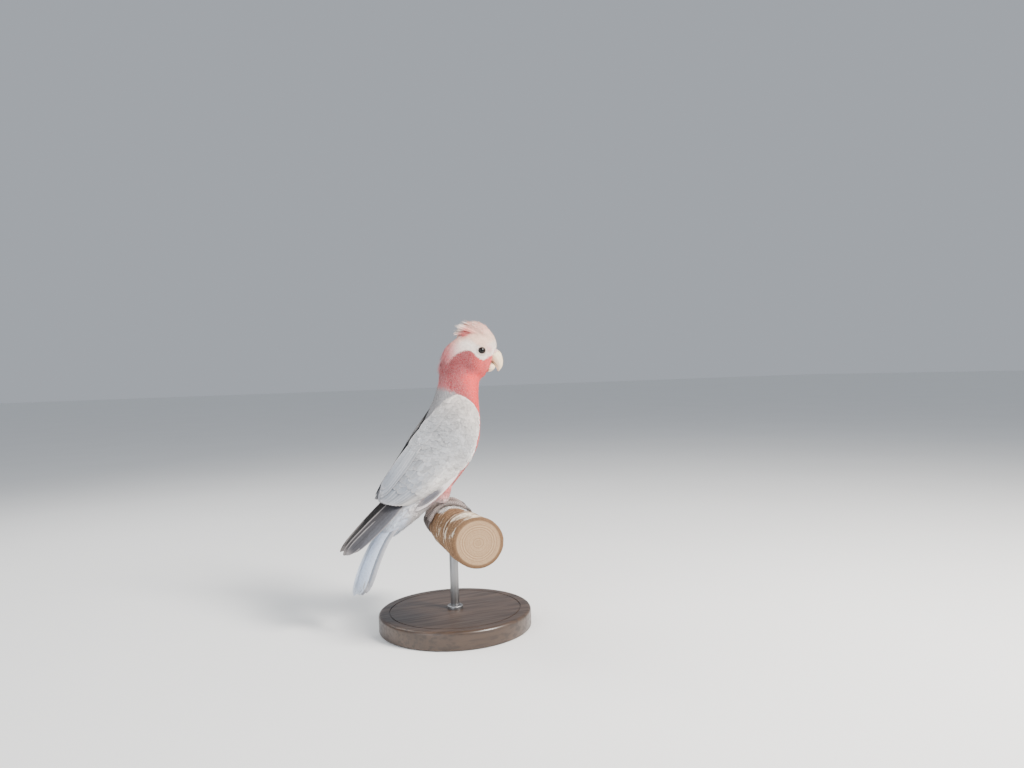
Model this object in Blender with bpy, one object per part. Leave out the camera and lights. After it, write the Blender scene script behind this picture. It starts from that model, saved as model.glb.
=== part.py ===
"""A galah, life size and still, perched across a cut length of branch on a plain display stand.

The bird faces +X with its head turned a little to its right, and stands crosswise on the branch. The whole body
is modelled in one piece from lofted rings, blended, and then parted with thin cuts into head, neck, trunk, rump
and thighs. Wings, tail, bill, crest, feet and perch are cut back from the body and from each other by one gap.

The origin is the centre of the base's underside. Profile stations are written in millimetres (MM).
"""

import math
from collections import namedtuple

import bmesh
import bpy
from mathutils import Matrix, Vector

MM = 0.001
GAP = 0.3 * MM  # between pieces that touch

# The stand and the perch. The bird is modelled about its grip, midway between its feet.
GRIP_HEIGHT = 131 * MM
BASE_RADIUS = 88 * MM
BASE_HEIGHT = 20 * MM
ROD_RADIUS = 5 * MM
ROD_SOCKET = 14 * MM  # how deep the rod goes into the perch and into the base
ROD_ALONG = 24 * MM  # the rod's place along the branch
PERCH_RADIUS = 24 * MM
PERCH_AXIS = Vector((7.5, 0, -17)) * MM  # the feet hold the branch a little behind its top
PERCH_TURN = math.radians(11)  # the branch runs this far off square to the bird
PERCH_BEND = 1.0  # its sideways bend towards the bird's front, per metre
PERCH_NEAR = 118 * MM  # branch in front of the feet, on the bird's right
PERCH_FAR = 52 * MM  # branch beyond them

# The bird
HEAD_PIVOT = Vector((25, 0, 0)) * MM
HEAD_TURN = math.radians(-18)  # to the bird's right
NECK_TWIST_FROM, NECK_TWIST_TO = 128 * MM, 162 * MM
EYE_AT = Vector((52, 15.6, 187.5)) * MM
EYE_RADIUS = 5.3 * MM
BLEND_VOXEL = 2.2 * MM
BODY_TRIANGLES = 1260

Ring = namedtuple("Ring", "top bottom half_width")  # (x, z) of the ring's two ends in millimetres, and its half width
WingRing = namedtuple("WingRing", "dorsal ventral y_dorsal y_mid y_ventral thick")

TRUNK = [  # from the tail coverts up the back and the belly to the throat
    Ring((-79, -14), (-62, -26), 10),
    Ring((-73, 2), (-50, -18), 16),
    Ring((-66, 18), (-38, -10), 21),
    Ring((-60, 33), (-22, 1), 24.5),
    Ring((-52, 51), (-5, 14), 28),
    Ring((-42, 70), (14, 31), 30.5),
    Ring((-31, 88), (32, 52), 32),
    Ring((-21, 104), (45, 74), 32),
    Ring((-13, 119), (49, 96), 30),
    Ring((-6, 134), (49, 117), 26.5),
    Ring((-1, 148), (48.5, 134), 23.5),
    Ring((2, 160), (49.5, 147), 21.5),
    Ring((4, 172), (51, 158), 20.5),
    Ring((12, 184), (50, 172), 17),
]
HEAD = [  # from the nape to the root of the bill
    Ring((5.5, 185), (5.5, 168), 7),
    Ring((10, 193.5), (10, 160), 14.5),
    Ring((18, 200.5), (18, 155), 18.5),
    Ring((28, 206), (28, 153), 20.8),
    Ring((39, 209), (38, 152), 21.3),
    Ring((49, 209.5), (47, 152.5), 20.6),
    Ring((58, 206.5), (55, 156), 18.6),
    Ring((65, 202.5), (61, 161.5), 15.8),
    Ring((70.5, 196.5), (65, 172), 12),
    Ring((73.5, 190.5), (70, 180), 7.5),
]
THIGH = [  # one feathered thigh, from inside the belly down to the tarsus
    Ring((-22, 42), (11, 46), 12),
    Ring((-19, 28), (8, 31), 10.5),
    Ring((-14, 16), (4.5, 18), 7.3),
    Ring((-9.5, 10), (1.5, 10.5), 4.8),
]
THIGH_Y = 15 * MM
BILL_UPPER = [  # from inside the face, over the culmen and down to the tip
    Ring((68, 190), (58, 178), 8),
    Ring((75, 187), (61.5, 176.5), 8.4),
    Ring((77.8, 181), (65, 174), 7.8),
    Ring((78.8, 175), (67.5, 171), 6.6),
    Ring((78, 169.5), (69.8, 168), 4.8),
    Ring((75.8, 165.5), (71, 165.4), 2.7),
    Ring((73, 162.6), (71.6, 163), 0.9),
]
BILL_LOWER = [  # a short scoop behind the upper bill's hook
    Ring((57, 175.5), (56, 162), 6.6),
    Ring((61, 173), (60, 160.6), 7.2),
    Ring((64.6, 170.2), (64, 161.2), 6.6),
    Ring((67.6, 167.6), (67, 163.6), 5),
]
WING = [  # the folded wing's coverts and inner flight feathers, from the bend to the ends of the tertials
    WingRing((23, 134), (34, 124), 27, 31, 29, 7),
    WingRing((15, 136), (38, 112), 24.5, 37, 30, 10),
    WingRing((5, 129), (37, 98), 22, 41, 32, 11),
    WingRing((-5, 117.5), (33, 83), 19, 43, 34, 10.5),
    WingRing((-16, 104), (28, 69), 16, 43.5, 34.5, 10),
    WingRing((-28, 89), (19, 56), 14.5, 42.5, 34, 9),
    WingRing((-51, 58.5), (-12, 32), 11, 37, 30, 7),
    WingRing((-62, 44.5), (-28, 22), 9.5, 32.5, 27, 6),
    WingRing((-79, 22), (-60, 8), 8, 22, 18.5, 4),
    WingRing((-84, 13.5), (-74, 7), 8.5, 15.5, 14, 2.6),
]
WING_CORNERS = 7  # points across the wing's outer face
PRIMARY_ROOT = Vector((-60, 15.5, 21)) * MM
PRIMARY_TIP = Vector((-120, 10, -37)) * MM
PRIMARY_COUNT = 4
PRIMARY_WIDTH = 13 * MM
TAIL_LINE = [(-54, 6), (-79, -19), (-97, -50), (-110, -83)]  # (x, z) along the middle of the tail's top
TAIL_FEATHERS = 12
TAIL_ROOT_Y = 1.5 * MM  # spacing of the feathers' roots and tips across the tail
TAIL_TIP_Y = 3.3 * MM
TAIL_ROOF = 8.5 * MM  # how far the outermost feathers hang below the middle ones
FEATHER_THICK = 1.3 * MM
CREST = [  # the half-raised feathers of the forehead and crown, up and back
    Ring((72.5, 196), (66, 190), 5),
    Ring((70.5, 204), (62, 196), 8),
    Ring((65, 212.5), (56, 199), 9.5),
    Ring((58, 219.5), (50, 202), 9.5),
    Ring((50, 223), (44, 203), 8.5),
    Ring((42, 222.5), (38, 203), 7.5),
    Ring((35, 219.5), (33, 204), 6),
]
CREST_TIPS = [  # the longest feathers' ends: root x and z, tip x and z, and how far each spreads to a side
    ((56, 216), (36, 224.5), 2),
    ((48, 217), (27, 221), -3),
    ((46, 212), (24.5, 214.5), 4),
    ((44, 206), (23, 207), -1.5),
]
CREST_TIP_WIDTH = 8 * MM
TOE_RADIUS = 3 * MM
TOE_SPREAD = 5 * MM
TARSUS_RADIUS = 3.4 * MM
GRIP_TURN = math.radians(-25)  # the ankles' place round the branch, behind its top
FRONT_WRAP = math.radians(66)  # how far a toe reaches round the branch before its claw
BACK_WRAP = math.radians(50)
CLAW_WRAP = math.radians(24)
FOOT_ALONG = 15 * MM  # each foot's place along the branch

FINISHES = {  # name: (colour, roughness, metallic)
    "crown": ((0.80, 0.58, 0.54), 0.85, 0.0),
    "rose": ((0.72, 0.22, 0.24), 0.85, 0.0),
    "mantle": ((0.52, 0.51, 0.52), 0.85, 0.0),
    "flight": ((0.20, 0.19, 0.19), 0.7, 0.0),
    "tail": ((0.58, 0.61, 0.66), 0.75, 0.0),
    "bill": ((0.80, 0.72, 0.60), 0.45, 0.0),
    "eye": ((0.02, 0.012, 0.01), 0.08, 0.0),
    "foot": ((0.34, 0.32, 0.32), 0.7, 0.0),
    "claw": ((0.10, 0.09, 0.09), 0.4, 0.0),
    "bark": ((0.42, 0.30, 0.20), 0.9, 0.0),
    "base": ((0.10, 0.085, 0.075), 0.4, 0.0),
    "steel": ((0.55, 0.55, 0.56), 0.3, 1.0),
}


def finish(name):
    """The Principled material of that name, made once."""
    material = bpy.data.materials.get(name)
    if material is None:
        colour, roughness, metallic = FINISHES[name]
        material = bpy.data.materials.new(name)
        material.use_nodes = True
        shader = material.node_tree.nodes["Principled BSDF"]
        shader.inputs["Base Color"].default_value = (*colour, 1)
        shader.inputs["Roughness"].default_value = roughness
        shader.inputs["Metallic"].default_value = metallic
    return material


def new_object(name, bm, finish_name):
    """The bmesh as a smooth-shaded object with its normals pointing out."""
    bmesh.ops.recalc_face_normals(bm, faces=bm.faces)
    mesh = bpy.data.meshes.new(name)
    bm.to_mesh(mesh)
    bm.free()
    mesh.shade_smooth()
    mesh.set_sharp_from_angle(angle=math.radians(50))
    obj = bpy.data.objects.new(name, mesh)
    bpy.context.scene.collection.objects.link(obj)
    mesh.materials.append(finish(finish_name))
    return obj


def skin_rings(bm, rings):
    """Joins closed rings of points into a tube, with a fan at each end."""
    made = [[bm.verts.new(point) for point in ring] for ring in rings]
    for near, far in zip(made, made[1:]):
        for i in range(len(near)):
            bm.faces.new((near[i - 1], near[i], far[i], far[i - 1]))
    for ring in (made[0], made[-1]):
        middle = bm.verts.new(sum((v.co for v in ring), Vector()) / len(ring))
        for i in range(len(ring)):
            bm.faces.new((ring[i - 1], ring[i], middle))


def smooth_curve(values, steps):
    """A Catmull-Rom curve through the values, each a tuple of numbers, with this many points to a stretch."""
    points = [Vector(value) for value in values]
    ends = [points[0] * 2 - points[1], *points, points[-1] * 2 - points[-2]]
    curve = []
    for a, b, c, d in zip(ends, ends[1:], ends[2:], ends[3:]):
        for i in range(steps):
            t = i / steps
            curve.append(
                (b * 2 + (c - a) * t + (a * 2 - b * 5 + c * 4 - d) * t**2 + (b * 3 - a - c * 3 + d) * t**3) / 2
            )
    return [*curve, points[-1]]


def profile_loft(name, stations, finish_name, steps=2, corners=20, middle_y=0.0):
    """A body of elliptical rings that stand on edge in the XZ plane, from their top and bottom points."""
    bm = bmesh.new()
    rings = []
    # Vector holds four numbers at most, so the half width is smoothed by itself
    ends = smooth_curve([(*s.top, *s.bottom) for s in stations], steps)
    widths = smooth_curve([(s.half_width, 0) for s in stations], steps)
    for (top_x, top_z, bottom_x, bottom_z), (half_width, _) in zip(ends, widths):
        top = Vector((top_x, 0, top_z)) * MM
        bottom = Vector((bottom_x, 0, bottom_z)) * MM
        centre = (top + bottom) / 2 + Vector((0, middle_y, 0))
        up = (top - bottom) / 2
        side = Vector((0, half_width * MM, 0))
        turns = [math.tau * i / corners for i in range(corners)]
        rings.append([centre + up * math.cos(a) + side * math.sin(a) for a in turns])
    skin_rings(bm, rings)
    return new_object(name, bm, finish_name)


def tube(name, path, radii, finish_name, corners=6):
    """A round tube along the path, with a radius for each of its points."""
    bm = bmesh.new()
    rings = []
    side = None
    for i, (point, radius) in enumerate(zip(path, radii)):
        along = (path[min(i + 1, len(path) - 1)] - path[max(i - 1, 0)]).normalized()
        side = along.orthogonal() if side is None else side - along * side.dot(along)
        side.normalize()
        other = along.cross(side)
        turns = [math.tau * k / corners for k in range(corners)]
        rings.append([point + (side * math.cos(a) + other * math.sin(a)) * radius for a in turns])
    skin_rings(bm, rings)
    return new_object(name, bm, finish_name)


def blade(name, path, half_widths, across, thick, finish_name):
    """One long feather: a flat vane with a low ridge along its shaft, square to the direction across."""
    bm = bmesh.new()
    rings = []
    for i, (point, half) in enumerate(zip(path, half_widths)):
        along = (path[min(i + 1, len(path) - 1)] - path[max(i - 1, 0)]).normalized()
        side = (across - along * across.dot(along)).normalized()
        up = side.cross(along)
        edge = up * thick * 0.28
        ridge = up * thick * 0.5
        left = point - side * half
        right = point + side * half
        rings.append([left + edge, point + ridge, right + edge, right - edge, point - ridge, left - edge])
    skin_rings(bm, rings)
    return new_object(name, bm, finish_name)


def rounded_tip(count, half_width):
    """Half widths along a feather of this many stations, which narrow at the root and end in a round tip."""
    halves = []
    for i in range(count):
        t = i / (count - 1)
        halves.append(half_width * (0.75 + 0.25 * t) * math.sqrt(max(0.03, 1 - max(0, t - 0.72) ** 2 / 0.28**2)))
    return halves


def feather_path(start, end, bow, count=6):
    """Points from start to end that bow by this vector at the middle."""
    return [start.lerp(end, i / (count - 1)) + bow * math.sin(math.pi * i / (count - 1)) for i in range(count)]


def apply_modifiers(obj):
    """Bakes the object's modifiers into its mesh."""
    graph = bpy.context.evaluated_depsgraph_get()
    baked = bpy.data.meshes.new_from_object(obj.evaluated_get(graph))
    obj.modifiers.clear()
    obj.data = baked


def modify(obj, kind, **settings):
    """Adds one modifier with these settings and bakes it."""
    modifier = obj.modifiers.new(kind.title(), kind)
    for key, value in settings.items():
        setattr(modifier, key, value)
    apply_modifiers(obj)


def combine(obj, other, operation):
    """An exact Boolean with a helper object, which is then removed."""
    modify(obj, "BOOLEAN", operation=operation, solver="EXACT", object=other)
    bpy.data.objects.remove(other)


def copy_of(obj, name):
    copy = obj.copy()
    copy.data = obj.data.copy()
    copy.name = name
    bpy.context.scene.collection.objects.link(copy)
    return copy


def grown(obj, by=GAP):
    """A copy of the object, pushed out along its normals, to cut its neighbours with."""
    copy = copy_of(obj, obj.name + "_grown")
    modify(copy, "DISPLACE", strength=by, mid_level=0.0)
    return copy


def clear_of(obj, *others):
    """Cuts the object back so that a gap is left to each of the others."""
    for other in others:
        combine(obj, grown(other), "DIFFERENCE")


def merged(name, objects):
    """One body from several that overlap."""
    first, *rest = objects
    for other in rest:
        combine(first, other, "UNION")
    first.name = name
    first.data.name = name
    return first


def keep_largest(obj):
    """Drops the chips that a cut leaves beside the piece."""
    bm = bmesh.new()
    bm.from_mesh(obj.data)
    waiting = set(bm.verts)
    islands = []
    while waiting:
        island = set()
        edge = [waiting.pop()]
        while edge:
            vert = edge.pop()
            island.add(vert)
            near = {e.other_vert(vert) for e in vert.link_edges} & waiting
            waiting -= near
            edge.extend(near)
        islands.append(island)
    islands.sort(key=len)
    bmesh.ops.delete(bm, geom=[v for island in islands[:-1] for v in island], context="VERTS")
    bm.to_mesh(obj.data)
    bm.free()


def turned_with_head(point, twist=1.0):
    """The point after the head's turn about the upright line through its pivot."""
    turn = Matrix.Rotation(HEAD_TURN * twist, 3, "Z")
    return turn @ (point - HEAD_PIVOT) + HEAD_PIVOT


def turn_head(obj):
    """Turns a piece that is modelled looking straight ahead."""
    for vert in obj.data.vertices:
        vert.co = turned_with_head(vert.co)
    return obj


def twist_neck(obj):
    """Turns the body's head end, and spreads the turn along the neck."""
    for vert in obj.data.vertices:
        rise = (vert.co.z - NECK_TWIST_FROM) / (NECK_TWIST_TO - NECK_TWIST_FROM)
        rise = min(1.0, max(0.0, rise))
        vert.co = turned_with_head(vert.co, rise * rise * (3 - 2 * rise))


def make_whole_body():
    """Trunk, neck, head and thighs as one blended body."""
    body = profile_loft("whole_body", TRUNK, "mantle", steps=3, corners=28)
    combine(body, profile_loft("head_form", HEAD, "crown", steps=3, corners=24), "UNION")
    for side in (-1, 1):
        thigh = profile_loft("thigh_form", THIGH, "rose", steps=3, corners=16, middle_y=side * THIGH_Y)
        combine(body, thigh, "UNION")
    twist_neck(body)
    modify(body, "REMESH", mode="VOXEL", voxel_size=BLEND_VOXEL)
    modify(body, "SMOOTH", factor=0.5, iterations=5)
    modify(body, "DECIMATE", ratio=BODY_TRIANGLES / 2 / len(body.data.polygons))
    modify(body, "TRIANGULATE")
    return body


def part_off(whole, name, finish_name, cuts):
    """A copy of the whole on the inner side of each cut, a point and an outward normal, closed flat there."""
    bm = bmesh.new()
    bm.from_mesh(whole.data)
    for point, normal in cuts:
        normal = Vector(normal).normalized()
        cut = bmesh.ops.bisect_plane(
            bm,
            geom=[*bm.verts, *bm.edges, *bm.faces],
            plane_co=Vector(point) * MM - normal * GAP / 2,
            plane_no=normal,
            clear_outer=True,
        )
        rim = [item for item in cut["geom_cut"] if isinstance(item, bmesh.types.BMEdge)]
        bmesh.ops.contextual_create(bm, geom=rim)
    bmesh.ops.triangulate(bm, faces=bm.faces)
    return new_object(name, bm, finish_name)


def opposite(cut):
    point, normal = cut
    return point, -Vector(normal)


def make_flesh(whole):
    """Head, neck, trunk, rump and thighs, parted from the whole body."""
    head_cut = ((26, 0, 157.5), (0.2, 0, 1))
    neck_cut = ((22, 0, 126), (0.28, 0, 1))
    rump_cut = ((-42, 0, 16), (-0.62, 0, -0.78))
    thigh_cut = ((0, 0, 23), (0.615, 0, -0.788))
    pieces = [
        part_off(whole, "head", "crown", [opposite(head_cut)]),
        part_off(whole, "neck", "rose", [head_cut, opposite(neck_cut)]),
        part_off(whole, "trunk", "mantle", [neck_cut, rump_cut, thigh_cut]),
        part_off(whole, "rump", "mantle", [opposite(rump_cut)]),
    ]
    for side, name in ((-1, "thigh_right"), (1, "thigh_left")):
        pieces.append(
            part_off(whole, name, "rose", [opposite(thigh_cut), ((0, 0, 0), (0, -side, 0)), rump_cut])
        )
    return {piece.name: piece for piece in pieces}


def make_bill():
    upper = turn_head(profile_loft("bill_upper", BILL_UPPER, "bill", steps=2, corners=12))
    lower = turn_head(profile_loft("bill_lower", BILL_LOWER, "bill", steps=2, corners=10))
    clear_of(lower, upper)
    keep_largest(lower)
    return upper, lower


def make_eye(name, side):
    bm = bmesh.new()
    at = turned_with_head(Vector((EYE_AT.x, side * EYE_AT.y, EYE_AT.z)))
    bmesh.ops.create_icosphere(bm, subdivisions=2, radius=EYE_RADIUS, matrix=Matrix.Translation(at))
    return new_object(name, bm, "eye")


def make_crest(whole):
    """A full crest that rises from the forehead and ends in a few ragged tips."""
    parts = [profile_loft("crest", CREST, "crown", steps=2, corners=8)]
    for i, ((root_x, root_z), (tip_x, tip_z), spread) in enumerate(CREST_TIPS):
        root = Vector((root_x, spread * 0.3, root_z)) * MM
        tip = Vector((tip_x, spread, tip_z)) * MM
        path = feather_path(root, tip, Vector((0, 0, 1.2)) * MM, count=3)
        halves = [CREST_TIP_WIDTH / 2 * f for f in (1, 1, 0.3)]
        parts.append(blade(f"crest_tip_{i}", path, halves, Vector((0, 1, spread * 0.06)), 3.6 * MM, "crown"))
    crest = turn_head(merged("crest", parts))
    clear_of(crest, whole)
    keep_largest(crest)
    return crest


def wing_rings(side):
    """Rings of points round the wing's shell: its arched outer face, then its inner face."""
    rings = []
    places = smooth_curve([(*w.dorsal, *w.ventral) for w in WING], 2)
    depths = smooth_curve([(w.y_dorsal, w.y_mid, w.y_ventral, w.thick) for w in WING], 2)
    for (dx, dz, vx, vz), (y_dorsal, y_mid, y_ventral, thick) in zip(places, depths):
        outer = []
        inner = []
        for k in range(WING_CORNERS):
            t = (k / (WING_CORNERS - 1)) ** 1.2
            # a quadratic through the dorsal, middle and ventral depths
            y = y_dorsal * (1 - t) * (1 - 2 * t) + y_mid * 4 * t * (1 - t) + y_ventral * t * (2 * t - 1)
            wall = 0.7 + (thick - 0.7) * math.sin(math.pi * t) ** 0.7
            x = dx + (vx - dx) * t
            z = dz + (vz - dz) * t
            outer.append(Vector((x, side * y, z)) * MM)
            inner.append(Vector((x, side * max(1.5, y - wall), z)) * MM)
        rings.append(outer + inner[::-1])
    return rings


def make_wing(name, side, whole):
    bm = bmesh.new()
    skin_rings(bm, wing_rings(side))
    wing = new_object(name, bm, "mantle")
    clear_of(wing, whole)
    keep_largest(wing)
    return wing


def make_primaries(name, side, wing, whole):
    """The long flight feathers that show beyond the folded wing, stacked from the back outwards."""
    feathers = []
    for i in range(PRIMARY_COUNT):
        step = i / (PRIMARY_COUNT - 1)
        root = PRIMARY_ROOT + Vector((6 * step, 1.6 * i, -8 * step)) * MM
        tip = PRIMARY_TIP + Vector((14 * step, 1.3 * i, 3 * step)) * MM
        root.y *= side
        tip.y *= side
        bow = Vector((-1.5, side * 1.5, -1.5)) * MM
        across = Vector((-0.6, side * -0.45, 0.66))
        halves = rounded_tip(6, PRIMARY_WIDTH / 2 * (1 - 0.12 * step))
        feathers.append(blade(f"{name}_{i}", feather_path(root, tip, bow), halves, across, FEATHER_THICK, "flight"))
    primaries = merged(name, feathers)
    clear_of(primaries, whole, wing)
    keep_largest(primaries)
    return primaries


def make_tail(whole):
    """Twelve feathers, the middle pair on top and each next one lower, like a low roof."""
    line = [Vector((x, 0, z)) * MM for x, z in TAIL_LINE]
    feathers = []
    last = (TAIL_FEATHERS - 1) / 2
    for i in range(TAIL_FEATHERS):
        place = i - last
        share = abs(place) / last
        path = []
        for k, point in enumerate(line):
            t = k / (len(line) - 1)
            along = (line[min(k + 1, len(line) - 1)] - line[max(k - 1, 0)]).normalized()
            below = Vector((0, 1, 0)).cross(along)
            out = place * (TAIL_ROOT_Y + (TAIL_TIP_Y - TAIL_ROOT_Y) * t)
            drop = TAIL_ROOF * share**1.5 * (0.45 + 0.55 * t) + (0.5 * MM if place > 0 else 0)
            path.append(point + Vector((0, out, 0)) - below * drop - along * 5 * MM * share**2 * t)
        slope = -math.copysign(0.75 * share**0.7, place)
        across = Vector((0, 1, 0)) + below * slope
        halves = [h * MM for h in (4.8, 6.8, 7.8, 4.2)]
        feathers.append(blade(f"tail_{i}", path, halves, across, FEATHER_THICK, "tail"))
    tail = merged("tail", feathers)
    clear_of(tail, whole)
    keep_largest(tail)
    return tail


def perch_direction():
    """Along the branch, towards its near end on the bird's right."""
    return Vector((-math.sin(PERCH_TURN), -math.cos(PERCH_TURN), 0))


def perch_front():
    """Level, square to the branch, towards the bird's front."""
    return Vector((0, 0, 1)).cross(perch_direction())


def perch_centre(along):
    """A point on the branch's axis."""
    return PERCH_AXIS + perch_direction() * along + perch_front() * PERCH_BEND * along**2


def perch_surface(along, turn, lift=0.0):
    """A point on the branch: how far along it from the feet, and the angle from its top towards the bird's front."""
    swell = 0.9 * MM * math.sin(along / (17 * MM) + 1.3) * min(1, max(0, abs(along) / (25 * MM) - 1))
    knot = 3.4 * MM * math.exp(-((along - 70 * MM) ** 2 / (16 * MM) ** 2) - (math.sin(turn / 2 - 0.5) / 0.5) ** 2)
    flare = 2.4 * MM * max(0, along - 25 * MM) / (80 * MM)
    radius = PERCH_RADIUS + swell + knot + flare + lift
    outward = Vector((0, 0, 1)) * math.cos(turn) + perch_front() * math.sin(turn)
    return perch_centre(along) + outward * radius


def make_perch():
    corners, lengths = 18, 11
    bm = bmesh.new()
    rings = []
    for i in range(lengths + 1):
        along = -PERCH_FAR + (PERCH_NEAR + PERCH_FAR) * i / lengths
        rings.append([perch_surface(along, math.tau * k / corners) for k in range(corners)])
    skin_rings(bm, rings)
    return new_object("perch", bm, "bark")


def make_foot(name, side, thigh):
    """A short tarsus and four toes, two forward and two back round the branch; the claws are pieces of their own."""
    along = -side * FOOT_ALONG
    ankle = perch_surface(along, GRIP_TURN, TARSUS_RADIUS + 1.4 * MM)
    top = Vector((-4 * MM, side * THIGH_Y, 15.5 * MM))
    tarsus = tube(name, [top, top.lerp(ankle, 0.5), ankle], [TARSUS_RADIUS * f for f in (1, 0.95, 1.15)], "foot", 8)
    toes = [tarsus]
    claws = []
    for number, (facing, offset, wrap) in enumerate(
        ((1, -1, FRONT_WRAP), (1, 1, FRONT_WRAP), (-1, -1, BACK_WRAP), (-1, 1, BACK_WRAP)), start=1
    ):
        steps = 7
        path = []
        for i in range(steps):
            t = i / (steps - 1)
            drift = along + offset * (1.5 * MM + TOE_SPREAD * t)
            path.append(perch_surface(drift, GRIP_TURN + facing * wrap * t, TOE_RADIUS * (1 - 0.1 * t) + GAP))
        radii = [TOE_RADIUS * (1 - 0.28 * i / (steps - 1) + (0.07 if i % 2 else -0.05)) for i in range(steps)]
        toes.append(tube(f"{name}_toe", path, radii, "foot"))
        claw_path = []
        for i in range(5):
            t = i / 4
            drift = along + offset * (1.5 * MM + TOE_SPREAD * (1 + 0.25 * t))
            lift = TOE_RADIUS * 0.95 + 1.5 * MM * math.sin(math.pi * t) - 1.2 * MM * t + GAP
            claw_path.append(perch_surface(drift, GRIP_TURN + facing * (wrap * 0.97 + CLAW_WRAP * t), lift))
        radii = [(1.75 - 1.4 * i / 4) * MM for i in range(5)]
        claws.append(tube(f"{name.replace('foot', 'claw')}_{number}", claw_path, radii, "claw"))
    foot = merged(name, toes)
    clear_of(foot, thigh)
    keep_largest(foot)
    for claw in claws:
        clear_of(claw, foot)
        keep_largest(claw)
    return [foot, *claws]


def cylinder(name, radius, bottom, top, finish_name, corners=32, bevel=0.0):
    bm = bmesh.new()
    middle = Matrix.Translation(Vector((0, 0, (bottom + top) / 2)))
    bmesh.ops.create_cone(
        bm, cap_ends=True, segments=corners, radius1=radius, radius2=radius, depth=top - bottom, matrix=middle
    )
    if bevel:
        rims = [e for e in bm.edges if min(v.co.z for v in e.verts) > middle.translation.z]
        bmesh.ops.bevel(bm, geom=rims, offset=bevel, segments=2, profile=0.6, affect="EDGES")
    return new_object(name, bm, finish_name)


def make_stand(perch):
    """A turned base and one rod, which goes into a drilled hole in the base and another in the branch."""
    base = cylinder("stand_base", BASE_RADIUS, 0, BASE_HEIGHT, "base", corners=36, bevel=5 * MM)
    underside = GRIP_HEIGHT + PERCH_AXIS.z - PERCH_RADIUS
    rod_bottom = BASE_HEIGHT - ROD_SOCKET
    rod_top = underside + ROD_SOCKET
    cylinder("stand_rod", ROD_RADIUS, rod_bottom, rod_top, "steel", corners=20)
    base_hole = (base, rod_bottom - GAP, BASE_HEIGHT + GAP)
    perch_hole = (perch, underside - 9 * MM, rod_top + GAP)
    for block, low, high in (base_hole, perch_hole):
        hole = cylinder("hole", ROD_RADIUS + GAP, low, high, "steel", corners=20)
        combine(block, hole, "DIFFERENCE")
        keep_largest(block)


def set_down(objects):
    """Moves what is modelled about the bird's grip to its place, with the branch's axis over the rod."""
    over_rod = perch_centre(ROD_ALONG)
    place = Vector((-over_rod.x, -over_rod.y, GRIP_HEIGHT))
    for obj in objects:
        for vert in obj.data.vertices:
            vert.co += place


def build():
    for obj in list(bpy.data.objects):
        bpy.data.objects.remove(obj)
    whole = make_whole_body()
    flesh = make_flesh(whole)
    upper, lower = make_bill()
    eyes = [make_eye("eye_right", -1), make_eye("eye_left", 1)]
    clear_of(flesh["head"], upper, lower, *eyes)
    keep_largest(flesh["head"])
    pieces = [*flesh.values(), upper, lower, *eyes, make_crest(whole)]
    for side, word in ((-1, "right"), (1, "left")):
        wing = make_wing(f"wing_{word}", side, whole)
        pieces.append(wing)
        pieces.append(make_primaries(f"primaries_{word}", side, wing, whole))
        pieces.extend(make_foot(f"foot_{word}", side, flesh[f"thigh_{word}"]))
    pieces.append(make_tail(whole))
    bpy.data.objects.remove(whole)
    perch = make_perch()
    set_down([*pieces, perch])
    make_stand(perch)


build()
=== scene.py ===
# %% [markdown]
# # A galah on its branch
# A galah is a small pink and grey cockatoo. This model is a still, life-size museum figure: the bird stands
# across a cut length of branch, held by a plain display stand. The solids of the frame give the true sizes,
# and this lesson dresses them: one skin for the flesh, feathers laid over it in tracts, then eyes, bill,
# feet, bark and stand. Each step says what the piece is on the real bird, how it could be made, and why
# this way.

import math

import bmesh
import bpy
import numpy as np
from mathutils import Matrix, Vector
from mathutils.bvhtree import BVHTree


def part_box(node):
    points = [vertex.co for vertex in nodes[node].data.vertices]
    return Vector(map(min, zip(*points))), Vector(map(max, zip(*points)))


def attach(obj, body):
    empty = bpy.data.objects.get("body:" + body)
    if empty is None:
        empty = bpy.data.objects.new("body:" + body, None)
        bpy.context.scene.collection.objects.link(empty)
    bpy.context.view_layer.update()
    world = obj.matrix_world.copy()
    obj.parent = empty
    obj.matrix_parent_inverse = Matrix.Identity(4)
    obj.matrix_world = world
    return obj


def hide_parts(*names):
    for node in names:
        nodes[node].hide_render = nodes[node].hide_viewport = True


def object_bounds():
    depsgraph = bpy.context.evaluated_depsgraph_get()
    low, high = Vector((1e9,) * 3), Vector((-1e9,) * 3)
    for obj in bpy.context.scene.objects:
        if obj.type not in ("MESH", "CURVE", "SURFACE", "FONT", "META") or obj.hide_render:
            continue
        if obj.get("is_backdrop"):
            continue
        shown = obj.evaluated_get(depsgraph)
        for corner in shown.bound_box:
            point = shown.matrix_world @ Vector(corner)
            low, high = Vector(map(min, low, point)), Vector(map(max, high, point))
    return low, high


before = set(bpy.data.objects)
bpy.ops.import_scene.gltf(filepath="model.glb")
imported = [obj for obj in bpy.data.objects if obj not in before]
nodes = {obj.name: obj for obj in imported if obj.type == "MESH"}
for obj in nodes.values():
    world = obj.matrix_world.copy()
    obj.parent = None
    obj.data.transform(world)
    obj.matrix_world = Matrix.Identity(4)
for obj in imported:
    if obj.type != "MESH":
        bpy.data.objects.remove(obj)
cad_box = [list(corner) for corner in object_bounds()]

MM = 0.001
EYES_FROM_GRIP = np.array([50.68, -8.34, 187.5])  # the middle between the eyes, from the bird's grip, in mm
EYE_CENTRES = {side: np.array(sum(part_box(f"eye_{side}"), Vector()) / 2) for side in ("right", "left")}
GRIP = sum(EYE_CENTRES.values()) / 2 - EYES_FROM_GRIP * MM
print("grip of the feet at", GRIP.round(4))

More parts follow.
